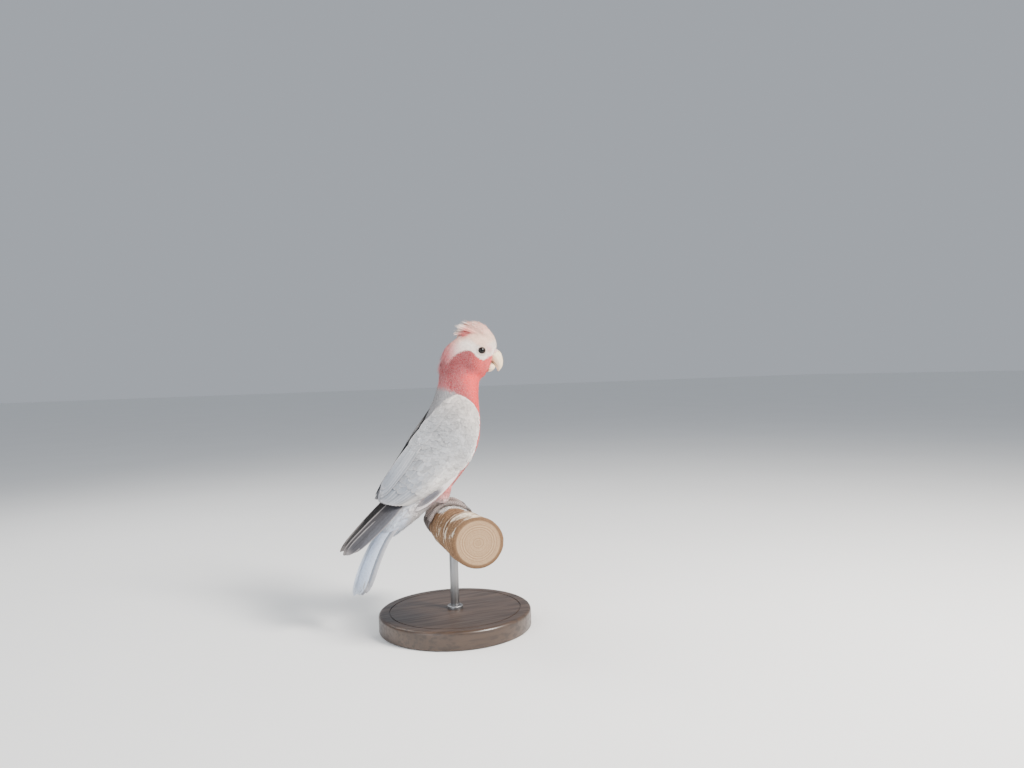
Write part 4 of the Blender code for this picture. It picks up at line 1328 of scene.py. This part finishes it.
# %% Horn material and the two halves
HORN_VOXEL = 0.42 * MM
NOSTRIL = np.array([74.6, 4.6, 186.6])
NOSTRIL_SIZE = np.array([1.5, 1.5, 0.9])
GAPE_X, GAPE_Z = [58, 68, 72], [178.5, 173.5, 168.5]  # the dark line where the halves meet

bone_horn, tree, shader = new_material("bone_horn", Specular_IOR_Level=0.4)
streak = mottled(tree, 1300.0, 4.0, drawn_out(tree, (1.0, 1.0, 0.16)))
tint = mixed(tree, mottled(tree, 160.0, 2.0)["Value"], paint(236, 206, 166), paint(252, 234, 204))
tint = mixed(tree, maths(tree, "MULTIPLY", streak["Patches"], 0.32), tint, paint(206, 172, 128))
# the horn darkens by the attribute shade: the dark line where the halves meet, a little towards the hook's
# tip, and painted shade in the nostril pits and where the lower half goes in under the upper
tint = mixed(tree, value_of(tree, "shade"), tint, paint(92, 70, 58))
dress(tree, shader, tint, step(tree, streak["Value"], 0.3, 0.7, 0.36, 0.56), streak["Value"], 0.12)

horns = {}
for node in ("bill_upper", "bill_lower"):
    horn = loose_copy(node, f"horn_{node}")
    with_modifier(horn, "REMESH", mode="VOXEL", voxel_size=HORN_VOXEL)
    with_modifier(horn, "SMOOTH", factor=0.5, iterations=6)
    keep_largest(horn)
    q = on_straight_head(coordinates(horn.data))
    shade = np.zeros(len(q))
    if node == "bill_upper":
        # the nostrils are pressed in and darkened: painted shade in the pits
        for y in (-1, 1):
            near = np.exp(-(((q - NOSTRIL * [1, y, 1]) / NOSTRIL_SIZE) ** 2).sum(1))
            q[:, 1] -= y * near * 0.8
            shade = np.maximum(shade, near)
        groove = np.exp(-((q[:, 2] - np.interp(q[:, 0], GAPE_X, GAPE_Z)) / 0.55) ** 2)
        shade = np.maximum(shade, 0.75 * groove * ease(q[:, 0], 73, 70))
        shade = np.maximum(shade, 0.2 * ease(q[:, 2], 167, 163))
    else:
        closing = ease(q[:, 2], 163, 170) * ease(q[:, 0], 57, 62)  # its rim rises into the upper bill
        q[:, 0] += 2.6 * closing
        q[:, 2] += 2.4 * closing
        q[:, 2] += 1.8 * ease(q[:, 2], 168, 160)
        # the lower half's top rim is darkened where it goes in under the upper half: the gape's dark line and
        # painted shade
        shade = np.maximum(shade, 0.7 * ease(q[:, 2], 169.5, 172.5))
    set_coordinates(horn.data, spun(q, HEAD_TURN) * MM + GRIP)
    set_value(horn.data, np.clip(shade, 0, 1), "shade")
    horn.data.shade_smooth()
    horn.data.materials.clear()
    horn.data.materials.append(bone_horn)
    place(horn, "bill_horn", node)
    horns[node] = horn
    print(node, len(horn.data.polygons), "faces")


# %% [markdown]
# Short feathers of the face lie forward over the root of the bill, most of all over the rear of the lower
# half, so that no bare seam shows. They grow like the coat, but over the horn's own surface.

# %% The fringe round the bill
SHORT_RISE = np.array([-0.1, 0.1, 0.25, 0.4, 0.5])
SHORT_WIDTHS = np.array([0.6, 1.0, 0.9, 0.6, 0.12])


def short_feathers(name, under, roots, ways, lengths, widths, slot):
    """A piece of short feathers laid over the piece under them, in the markings of the place; mm."""
    n = len(roots)
    mids, ups = grown_on(surface_tree(under.data), roots, ways, lengths * MM, rng.normal(0, 0.2, n))
    mids = mids + ups * (SHORT_RISE * rng.uniform(0.6, 1.5, (n, 1)))[..., None] * MM
    marks = plumage(on_straight_head(roots) - [2.0, 0, 0])[:, None]
    colours = marks * (1 + rng.normal(0, 0.06, (n, STATIONS, 1)))
    halves = SHORT_WIDTHS * (widths * MM)[:, None]
    thick = np.broadcast_to(TAPER * 0.11 * MM, halves.shape)
    patches = FACE_UV[skin_faces(roots)]
    piece = vane_mesh(name, mids, ups, halves, thick, colours, patches, SMALL_SECTION, FINE_PLUMES, sag=25.0)
    place(piece, slot)
    print(f"{name}: {n} feathers")


def over_upper_bill(x, z):
    return (x < 60.5 + 0.35 * (z - 176) + 5.5 * ease(z, 183, 188)) & (z > 176)


def over_lower_bill(x, z):
    return x < 60.0 - 2.5 * ease(z, 168, 162)


for node, way, where in (
    ("bill_upper", (0.9, 0.0, -0.25), over_upper_bill),
    ("bill_lower", (1.0, 0.0, 0.15), over_lower_bill),
):
    horn_points = coordinates(horns[node].data)
    q = on_straight_head(horn_points)
    roots = rng.permutation(horn_points[where(q[:, 0], q[:, 2])])
    roots = roots[thinned(roots, 0.6 * MM)]
    n = len(roots)
    ways = np.tile(turned(np.array(way), HEAD_TURN), (n, 1))
    lengths, widths = rng.uniform(2.4, 4.0, n), rng.uniform(0.3, 0.5, n)
    short_feathers(f"fringe_{node}", horns[node], roots, ways, lengths, widths, "rose_feathers")


# %% Feathers that come close round each eye
OPENING = RING_EDGE + 0.1
for side in ("right", "left"):
    centre, looks, first, second = eye_frame(side)
    turns, radii = rng.uniform(0, math.tau, 3000), rng.uniform(OPENING, 7.4, 3000)
    around = (np.cos(turns)[:, None] * first + np.sin(turns)[:, None] * second) * radii[:, None]
    roots = centre + (around + looks * np.interp(radii, *zip(*LID_PROFILE))[:, None]) * MM
    ways = FACE_FLOW[skin_faces(roots)]
    lengths = rng.uniform(1.7, 2.5, len(roots))
    ends = around + ways * lengths[:, None]
    ends = ends - (ends @ looks)[:, None] * looks
    clear = np.linalg.norm(ends, axis=1) > OPENING
    clear &= np.linalg.norm((ends + around) / 2, axis=1) > OPENING
    kept = np.flatnonzero(clear)
    kept = kept[thinned(roots[kept], 0.3 * MM)]
    short_feathers(
        f"face_round_eye_{side}", lid_rings[side], roots[kept], ways[kept], lengths[kept],
        rng.uniform(0.2, 0.32, len(kept)), "crown_feathers",
    )


# %% [markdown]
# ## The branch
# The perch is a cut length of a dead branch: grey-brown bark with ring-like ridges across it, pale patches
# where it has peeled, a knot, and a crust of lichen on top by the feet. A cylinder with cuts could be
# pulled into shape by hand, but the frame's branch already follows a rule, so the same rule is used with
# fine steps, and ridges, cracks and the knot are added to its radius.

# %% The branch's line and radius
PERCH_TURN = math.radians(11)
ALONG_DIR = np.array([-math.sin(PERCH_TURN), -math.cos(PERCH_TURN), 0.0])
FRONT_DIR = np.array([math.cos(PERCH_TURN), -math.sin(PERCH_TURN), 0.0])
PERCH_RADIUS, PERCH_NEAR, PERCH_FAR = 24.0, 118.0, 52.0
PERCH_MIDDLE = np.array([7.5, 0, -17.0])
PERCH_BOW = 0.001
ROUND, LENGTH = 168, 230
SAWN_EDGE = 1.2  # the sawn edge is slightly rounded
SHRINK = (0.985, 0.95, 0.88, 0.78, 0.66, 0.52, 0.36, 0.2, 0.06)


def perch_points(along, turn, lift=0.0):
    """Points on the branch in mm: along it from the feet, round it from its top, and above its surface."""
    swell = 0.9 * np.sin(along / 17 + 1.3) * np.clip(np.abs(along) / 25 - 1, 0, 1)
    knot = 3.4 * np.exp(-(((along - 70) / 16) ** 2) - (np.sin(turn / 2 - 0.5) / 0.5) ** 2)
    flare = 2.4 * np.maximum(0, along - 25) / 80
    radius = PERCH_RADIUS + swell + knot + flare + lift
    centre = PERCH_MIDDLE + along[..., None] * ALONG_DIR + (PERCH_BOW * along**2)[..., None] * FRONT_DIR
    outward = np.cos(turn)[..., None] * np.array([0.0, 0, 1]) + np.sin(turn)[..., None] * FRONT_DIR
    return centre + radius[..., None] * outward


def waves(x, seed, count, low, high):
    """A smooth random line: a few sine waves of seeded lengths and phases."""
    r = np.random.default_rng(seed)
    k, p = r.uniform(low, high, count), r.uniform(0, math.tau, count)
    return sum(np.sin(x * a + b) for a, b in zip(k, p)) / count


def slanted(along, turn):
    """The place along the branch as its ridges count it, which run round it a little askew."""
    return along + 5.0 * np.sin(turn + 0.6) + 2.0 * np.sin(2 * turn + along / 30)


def relief(along, turn):
    """How far the bark stands out, in mm: ridges, pits and two creases, and nearly smooth under the feet."""
    askew = slanted(along, turn)
    ridges = np.maximum(0, waves(askew, 3, 6, 0.25, 1.3)) ** 1.5 * 0.9
    cracks = waves(turn * 9 + 0.6 * np.sin(along / 6), 5, 5, 0.6, 2.6) * waves(askew, 8, 4, 0.5, 1.7)
    pits = -0.45 * np.maximum(0, cracks) ** 0.8
    under_feet = ease(np.abs(along), 30, 21) * ease(np.cos(turn + 0.2), -0.55, -0.1)
    creases = -1.5 * np.exp(-((askew - 64) / 1.6) ** 2) - 1.1 * np.exp(-((askew - 87) / 1.3) ** 2)
    rough = (ridges + pits - 0.25) * (1 - 0.92 * under_feet) - 0.12
    return rough + creases * (0.5 + 0.5 * np.sin(turn + 2.2))


def sawn_end(ring, outward):
    """Rings that close a sawn end, from its rim to its heart."""
    middle = ring.mean(0)
    for share in SHRINK:
        bulge = 0.0 if share > 0.97 else 0.25 * math.sin(share * 60)
        out = SAWN_EDGE * min(1, (1 - share) * 25) + 0.15 * bulge
        yield middle + (ring - middle) * share + outward * out


turns = np.linspace(0, math.tau, ROUND, endpoint=False)
turn, along = np.meshgrid(turns, np.linspace(-PERCH_FAR, PERCH_NEAR, LENGTH))
body = list(perch_points(along, turn, relief(along, turn)))
near_way = ALONG_DIR + 2 * PERCH_BOW * PERCH_NEAR * FRONT_DIR
far_way = -(ALONG_DIR - 2 * PERCH_BOW * PERCH_FAR * FRONT_DIR)
rings = [*sawn_end(body[0], far_way)][::-1] + body + [*sawn_end(body[-1], near_way)]
branch = closed_piece("branch", np.concatenate(rings) * MM + GRIP, ring_faces(len(rings), ROUND))

cap = np.ones(len(SHRINK))
along_all = np.repeat(np.concatenate([-PERCH_FAR * cap, along[:, 0], PERCH_NEAR * cap]), ROUND)
turn_all = np.tile(turns, len(rings))
crust = np.exp(-(((along_all - 16) / 26) ** 2)) * ease(np.cos(turn_all - 0.25), 0.25, 0.75)
crust = crust + 0.7 * np.exp(-(((along_all + 22) / 14) ** 2)) * ease(np.cos(turn_all), 0.2, 0.8)
peeled = ease(along_all, 76, 90) * ease(np.cos(turn_all - 1.0), -0.3, 0.5)
from_heart = np.concatenate([np.linalg.norm(ring - ring.mean(0), axis=1) for ring in rings])
set_value(branch.data, from_heart, "from_heart")
set_value(branch.data, np.repeat(np.concatenate([cap, np.zeros(LENGTH), cap]), ROUND), "sawn")
set_value(branch.data, np.clip(crust, 0, 1), "crust")
set_value(branch.data, np.clip(peeled, 0, 1), "peeled")
set_value(branch.data, slanted(along_all, turn_all), "slanted")
print("branch:", len(branch.data.polygons), "faces")

# %% Bark, crust and sawn wood
bark, tree, shader = new_material("bark", Specular_IOR_Level=0.2)
fine = mottled(tree, 700.0, 5.0)
broad = mottled(tree, 62.0, 4.0)
fibres = mottled(tree, 420.0, 4.0, drawn_out(tree, (1.0, 0.35, 1.0), (0, 0, -PERCH_TURN)))
speck = mottled(tree, 760.0, 5.0)
along_bark = maths(tree, "MULTIPLY", value_of(tree, "slanted"), 0.16)
bands = line_noise(tree, maths(tree, "MULTIPLY_ADD", broad["Value"], 1.6, along_bark), 1.0, 3.0)
tint = mixed(tree, step(tree, fine["Value"], 0.3, 0.7), paint(84, 60, 42), paint(146, 112, 82))
tint = mixed(tree, step(tree, bands, 0.44, 0.7, 0.0, 0.45), tint, paint(182, 148, 112))
tint = mixed(tree, step(tree, bands, 0.42, 0.26, 0.0, 0.6), tint, paint(84, 61, 46))

# pale patches, peeled wood with its fibres, and the crust of lichen
pale = maths(tree, "MULTIPLY_ADD", fine["Value"], 0.25, broad["Value"])
pale = maths(tree, "MULTIPLY_ADD", bands, 0.35, pale)
tint = mixed(tree, step(tree, pale, 0.86, 0.96, 0.0, 0.65), tint, paint(230, 216, 196))
wood = mixed(tree, step(tree, fibres["Value"], 0.35, 0.65), paint(196, 176, 150), paint(240, 226, 204))
bare = maths(tree, "MULTIPLY", value_of(tree, "peeled"), step(tree, broad["Value"], 0.38, 0.5))
tint = mixed(tree, bare, tint, wood)
lichen = mixed(tree, step(tree, speck["Value"], 0.40, 0.54), paint(74, 68, 64), paint(228, 225, 219))
clumps = maths(tree, "ADD", broad["Value"], fine["Value"])
crusted = step(tree, maths(tree, "MULTIPLY", value_of(tree, "crust"), clumps), 0.44, 0.62)
tint = mixed(tree, crusted, tint, lichen)

# the sawn ends have rings round the heart and a dark rim of bark
from_heart = value_of(tree, "from_heart")
year_rings = line_noise(tree, maths(tree, "MULTIPLY_ADD", broad["Value"], 3.0, from_heart), 0.8, 2.0)
sawn_tint = mixed(tree, step(tree, year_rings, 0.2, 0.75), paint(146, 116, 88), paint(186, 156, 122))
sawn_tint = mixed(tree, step(tree, from_heart, 22.0, 24.5), sawn_tint, paint(110, 84, 62))
sawn_tint = mixed(tree, maths(tree, "MULTIPLY", fine["Patches"], 0.25), sawn_tint, paint(150, 116, 84))
tint = mixed(tree, value_of(tree, "sawn"), tint, sawn_tint)

crust_height = maths(tree, "MULTIPLY", crusted, maths(tree, "MULTIPLY", speck["Value"], 1.5))
height = maths(tree, "MULTIPLY_ADD", bands, 0.8, crust_height)
height = maths(tree, "MULTIPLY_ADD", fine["Value"], 0.7, height)
dress(tree, shader, tint, step(tree, fine["Value"], 0.2, 0.8, 0.78, 0.95), height, 0.7)
branch.data.materials.append(bark)
place(branch, "bark", "perch")

# %% [markdown]
# ## The feet
# Cockatoos hold on with two toes forward and two back. Each toe is a tube of horny scales: broad plates
# like roof tiles along its top, fine grains at its sides. Curves with a bevel would make plain tubes; here
# the radius follows the joints and the plates, so the toes look jointed. Their lines wrap round the branch.

# %% Toes, shins and claws
GRIP_TURN = math.radians(-25)
FRONT_WRAP, BACK_WRAP, CLAW_WRAP = math.radians(66), math.radians(50), math.radians(24)
FOOT_ALONG, TOE_RADIUS, GAP = 15.0, 2.7, 0.3
CORNERS = 16
TUBE_TURNS = np.linspace(0, math.tau, CORNERS, endpoint=False)

horny, tree, shader = new_material("scaly_skin", Specular_IOR_Level=0.35)
grains = use_group(tree, SCALES, Vector=here(tree), Scale=1250.0)
dusty = mottled(tree, 700.0, 3.0)
tint = mixed(tree, dusty["Value"], paint(78, 69, 68), paint(132, 119, 115))
tint = mixed(tree, maths(tree, "MULTIPLY", grains["Edge"], 0.5), tint, paint(206, 192, 184))
tint = mixed(tree, maths(tree, "MULTIPLY", value_of(tree, "plates"), 0.7), tint, paint(216, 204, 196))
dress(tree, shader, tint, step(tree, dusty["Value"], 0.3, 0.7, 0.55, 0.8), grains["Plate"], 0.25)

claw_dark, tree, shader = new_material("claw_horn", Specular_IOR_Level=0.5)
streak = mottled(tree, 1500.0, 3.0, drawn_out(tree, (0.3, 1.0, 1.0)))["Value"]
tint = mixed(tree, streak, paint(38, 34, 34), paint(104, 94, 90))
dress(tree, shader, tint, step(tree, streak, 0.3, 0.7, 0.28, 0.45), streak, 0.08)


def tube(path, radii):
    """Rings of points round a path in mm; each ring's first corner looks away from the branch's middle."""
    along = unit(np.gradient(path, axis=0))
    out = path - PERCH_MIDDLE
    away = unit(out - (out @ ALONG_DIR)[:, None] * ALONG_DIR)
    side = unit(np.cross(along, away))
    up = np.cross(side, along)
    around = np.cos(TUBE_TURNS)[:, None] * up[:, None] + np.sin(TUBE_TURNS)[:, None] * side[:, None]
    return (path[:, None] + radii[..., None] * around).reshape(-1, 3)


def plated(radii, saw, depth):
    """A tube's radii with plates like roof tiles along its top; saw runs from 0 to 1 on each plate."""
    return radii[:, None] + depth * (saw - 0.5)[:, None] * ease(np.cos(TUBE_TURNS), 0.0, 0.6)


def plate_edges(saw, low, high):
    """How much each point of a plated tube belongs to a plate's pale edge."""
    return (ease(saw, low, high)[:, None] * ease(np.cos(TUBE_TURNS), 0.2, 0.6)).ravel()


def tubes_piece(name, tubes, material):
    """Closed tubes as one piece."""
    faces, start = [], 0
    for points in tubes:
        faces += [tuple(start + i for i in face) for face in ring_faces(len(points) // CORNERS, CORNERS)]
        start += len(points)
    piece = closed_piece(name, np.concatenate(tubes) * MM + GRIP, faces)
    piece.data.materials.append(material)
    print(f"{name}: {start} points")
    return piece


for side, word in ((-1, "right"), (1, "left")):
    along_foot = -side * FOOT_ALONG
    ankle = perch_points(np.array(along_foot), np.array(GRIP_TURN), 4.8)
    knee = np.array([-4.5, side * 15.0, 17.5])
    t = np.linspace(0, 1, 36)
    saw = t * 9 % 1
    shin = plated(3.5 + 0.5 * np.cos(t * math.pi) ** 4, saw, 0.22)
    scaly, edges, claws = [tube(knee + (ankle - knee) * t[:, None], shin)], [plate_edges(saw, 0.8, 0.95)], []
    for facing, offset, wrap, joints in (
        (1, -1, FRONT_WRAP, 3), (1, 1, FRONT_WRAP, 3), (-1, -1, BACK_WRAP, 2.5), (-1, 1, BACK_WRAP, 2.5)
    ):
        t = np.linspace(-0.06, 1, 56)
        out = np.clip(t, 0, 1)
        drift = along_foot + offset * (1.5 + 5.0 * out)
        path = perch_points(drift, GRIP_TURN + facing * wrap * t, TOE_RADIUS * (1 - 0.1 * out) + GAP)
        jointed = 1 + 0.07 * np.cos(t * math.tau * joints + 0.6)
        saw = t * 13 % 1
        radii = plated(TOE_RADIUS * (1 - 0.26 * out) * jointed, saw, 0.32)
        radii[-3:] *= np.array([0.93, 0.75, 0.45])[:, None]
        scaly.append(tube(path, radii))
        edges.append(plate_edges(saw, 0.82, 0.96))

        t = np.linspace(0, 1, 22)
        drift = along_foot + offset * (1.5 + 5.0 * (1 + 0.25 * t))
        lift = TOE_RADIUS * 0.95 + 1.6 * np.sin(math.pi * t) - 1.2 * t + GAP
        path = perch_points(drift, GRIP_TURN + facing * (wrap * 0.95 + (CLAW_WRAP + 0.06) * t), lift)
        claws.append(tube(path, np.repeat((1.75 * (1 - t) ** 0.75 + 0.18)[:, None], CORNERS, axis=1)))
    foot = tubes_piece(f"scaly_foot_{word}", scaly, horny)
    set_value(foot.data, np.concatenate(edges), "plates")
    place(foot, "foot_scales", f"foot_{word}")
    claw_set = tubes_piece(f"claws_{word}", claws, claw_dark)
    place(claw_set, "claw_horn", *(f"claw_{word}_{i}" for i in range(1, 5)))


# %% [markdown]
# ## The display stand
# A museum stand is plain: a turned disc of dark stained wood and a steel rod in a small ferrule. A disc is
# a cylinder whose rims are bevelled, with one shallow groove turned in its top, so it is made with inset,
# extrude and bevel, as by hand. The rod is a finely sided cylinder, brushed along its length.

# %% The base
low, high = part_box("stand_base")
BASE_RADIUS, BASE_HEIGHT = (high.x - low.x) / 2, high.z - low.z
GROOVE_INSET, GROOVE_WIDTH, GROOVE_DEPTH = 12 * MM, 1.2 * MM, 0.8 * MM
GROOVE_RADII = (74.5 * MM, 75.5 * MM)  # where the middle of a face of the groove can lie
TOP_BEVEL, FOOT_BEVEL = 4.5 * MM, 1.2 * MM
SMOOTH_BELOW = math.radians(35)


def select_where(obj, kind, test):
    """In edit mode, selects the faces or edges that pass the test, which gets their middle and radius too."""
    bpy.ops.mesh.select_mode(type=kind)
    bpy.ops.mesh.select_all(action="DESELECT")
    bm = bmesh.from_edit_mesh(obj.data)
    for item in bm.faces if kind == "FACE" else bm.edges:
        middle = sum((v.co for v in item.verts), Vector()) / len(item.verts)
        if test(item, middle.z, math.hypot(middle.x, middle.y)):
            item.select_set(True)
    bmesh.update_edit_mesh(obj.data)


def faces_up(face, height, radius):
    return face.normal.z > 0.9


def in_groove(face, height, radius):
    return face.normal.z > 0.9 and GROOVE_RADII[0] < radius < GROOVE_RADII[1]


def top_rim(edge, height, radius):
    return abs(height - BASE_HEIGHT) < 0.01 * MM and radius > BASE_RADIUS * 0.995


def foot_rim(edge, height, radius):
    return abs(height) < 0.01 * MM and radius > BASE_RADIUS * 0.995


cylinder = bpy.ops.mesh.primitive_cylinder_add
base = primitive(
    "turned_base", cylinder, vertices=128, radius=BASE_RADIUS, depth=BASE_HEIGHT,
    location=(0, 0, BASE_HEIGHT / 2),
)
bpy.ops.object.mode_set(mode="EDIT")
select_where(base, "FACE", faces_up)
bpy.ops.mesh.inset(thickness=GROOVE_INSET)
bpy.ops.mesh.inset(thickness=GROOVE_WIDTH)
select_where(base, "FACE", in_groove)
bpy.ops.mesh.extrude_region_move(TRANSFORM_OT_translate={"value": (0, 0, -GROOVE_DEPTH)})
select_where(base, "EDGE", top_rim)
bpy.ops.mesh.bevel(offset=TOP_BEVEL, segments=6, profile=0.6)
select_where(base, "EDGE", foot_rim)
bpy.ops.mesh.bevel(offset=FOOT_BEVEL, segments=3)
bpy.ops.object.mode_set(mode="OBJECT")
pick(base)
bpy.ops.object.shade_smooth_by_angle(angle=SMOOTH_BELOW)

stained_wood, tree, shader = new_material("stained_wood", Coat_Weight=0.25, Coat_Roughness=0.25)
grain_way = drawn_out(tree, (0.08, 1.0, 1.0), (0, 0, 0.5))
grain = mottled(tree, 260.0, 6.0, grain_way)
tint = mixed(tree, mottled(tree, 60.0, 3.0, grain_way)["Value"], paint(46, 36, 30), paint(86, 66, 52))
tint = mixed(tree, maths(tree, "MULTIPLY", grain["Patches"], 0.45), tint, paint(30, 24, 21))
dress(tree, shader, tint, step(tree, grain["Value"], 0.3, 0.7, 0.34, 0.5), grain["Value"], 0.15)
base.data.materials.append(stained_wood)
place(base, "base_wood", "stand_base")

# %% The rod and its ferrule
low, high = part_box("stand_rod")
middle, rod_radius = (low + high) / 2, (high.x - low.x) / 2
FERRULE_RIM, FERRULE_HEIGHT, FERRULE_MIDDLE = 4 * MM, 5 * MM, 1.5 * MM  # the last is above the base's top
rod = primitive("steel_rod", cylinder, vertices=64, radius=rod_radius, depth=high.z - low.z, location=middle)
with_modifier(rod, "BEVEL", width=0.6 * MM, segments=2, limit_method="ANGLE")
bpy.ops.object.shade_smooth_by_angle(angle=SMOOTH_BELOW)
ferrule = primitive(
    "ferrule", cylinder, vertices=64, radius=rod_radius + FERRULE_RIM, depth=FERRULE_HEIGHT,
    location=(middle.x, middle.y, BASE_HEIGHT + FERRULE_MIDDLE),
)
with_modifier(ferrule, "BEVEL", width=1.2 * MM, segments=4, limit_method="ANGLE")
bpy.ops.object.shade_smooth_by_angle(angle=SMOOTH_BELOW)

brushed_steel, tree, shader = new_material("brushed_steel", Metallic=1.0, Anisotropic=0.4)
brush = mottled(tree, 2400.0, 3.0, drawn_out(tree, (1.0, 1.0, 0.03)))["Value"]
tint = mixed(tree, brush, rgba(0.24, 0.24, 0.245), rgba(0.34, 0.34, 0.345))
dress(tree, shader, tint, step(tree, brush, 0.2, 0.8, 0.34, 0.5), brush, 0.02)
for piece in (rod, ferrule):
    piece.data.materials.append(brushed_steel)
place(rod, "rod_steel", "stand_rod")
place(ferrule, "rod_steel")
print("stand:", round(BASE_RADIUS / MM), "mm radius,", round(BASE_HEIGHT / MM), "mm high")

# %% [markdown]
# ## Floor, light and camera
# A pale floor and soft lamps show the model plainly. The camera stands to the bird's right and a little
# behind, level with its breast, with a lens of moderately wide angle.

# %% Floor
FLOOR_SIZE = 40.0
bpy.ops.object.select_all(action="DESELECT")
bpy.ops.mesh.primitive_plane_add(size=FLOOR_SIZE, location=(0, 0, -0.5 * MM))
floor = bpy.context.active_object
floor.name = "floor"
floor_material, tree, shader = new_material("pale_floor", Roughness=0.9, Specular_IOR_Level=0.2)
cloudy = mottled(tree, 3.0, 2.0)["Value"]
dress(tree, shader, mixed(tree, cloudy, rgba(0.86, 0.86, 0.85), rgba(0.91, 0.91, 0.90)))
floor.data.materials.append(floor_material)
floor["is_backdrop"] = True

# %% Lamps
world = bpy.data.worlds.new("studio")
bpy.context.scene.world = world
world.use_nodes = True
world.node_tree.nodes["Background"].inputs["Color"].default_value = (0.80, 0.86, 0.95, 1)
world.node_tree.nodes["Background"].inputs["Strength"].default_value = 0.52
BREAST = Vector(GRIP) + Vector((0, 0, 0.1))


def lamp(name, at, size, watts, colour):
    """A square soft lamp that looks at the bird's breast."""
    bpy.ops.object.light_add(type="AREA", location=Vector(GRIP) + Vector(at))
    made = bpy.context.active_object
    made.name = made.data.name = name
    made.data.size, made.data.energy, made.data.color = size, watts, colour
    made.rotation_euler = (BREAST - made.location).to_track_quat("-Z", "Y").to_euler()


lamp("key", (0.75, -0.95, 1.0), 0.45, 58.0, (1.0, 0.955, 0.90))
lamp("fill", (-1.2, -0.9, 0.5), 1.2, 13.0, (0.92, 0.96, 1.0))
lamp("rim", (-0.55, 0.8, 1.05), 0.8, 12.0, (1.0, 0.98, 0.95))

# %% Camera
CAMERA_FROM_GRIP = Vector((-0.2886, -0.8883, 0.1577))
HEADING, PITCH, ROLL = math.radians(66.69), math.radians(-0.66), math.radians(-1.75)
SENSOR_WIDTH = 36.0
FOCAL_SHARE = 785 / 1024  # focal length as a share of the sensor's width
bpy.ops.object.camera_add(location=Vector(GRIP) + CAMERA_FROM_GRIP)
camera = bpy.context.active_object
camera.name = "camera"
camera.data.sensor_width = SENSOR_WIDTH
camera.data.lens = SENSOR_WIDTH * FOCAL_SHARE
camera.data.clip_start = 0.01
forward = Vector((math.cos(HEADING) * math.cos(PITCH), math.sin(HEADING) * math.cos(PITCH), math.sin(PITCH)))
level = forward.cross(Vector((0, 0, 1))).normalized()
right = level * math.cos(ROLL) + level.cross(forward) * math.sin(ROLL)
turn = Matrix((right, right.cross(forward), -forward)).transposed().to_4x4()
camera.matrix_world = Matrix.Translation(camera.location) @ turn
bpy.context.scene.camera = camera
print("camera at", tuple(round(c, 4) for c in camera.location))

# %% Size, and the frame's last word
shown_box = [list(corner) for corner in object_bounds()]
growth = (np.array(shown_box) - cad_box) / MM
print("moves the solids' box by", growth.round(1).tolist(), "mm")
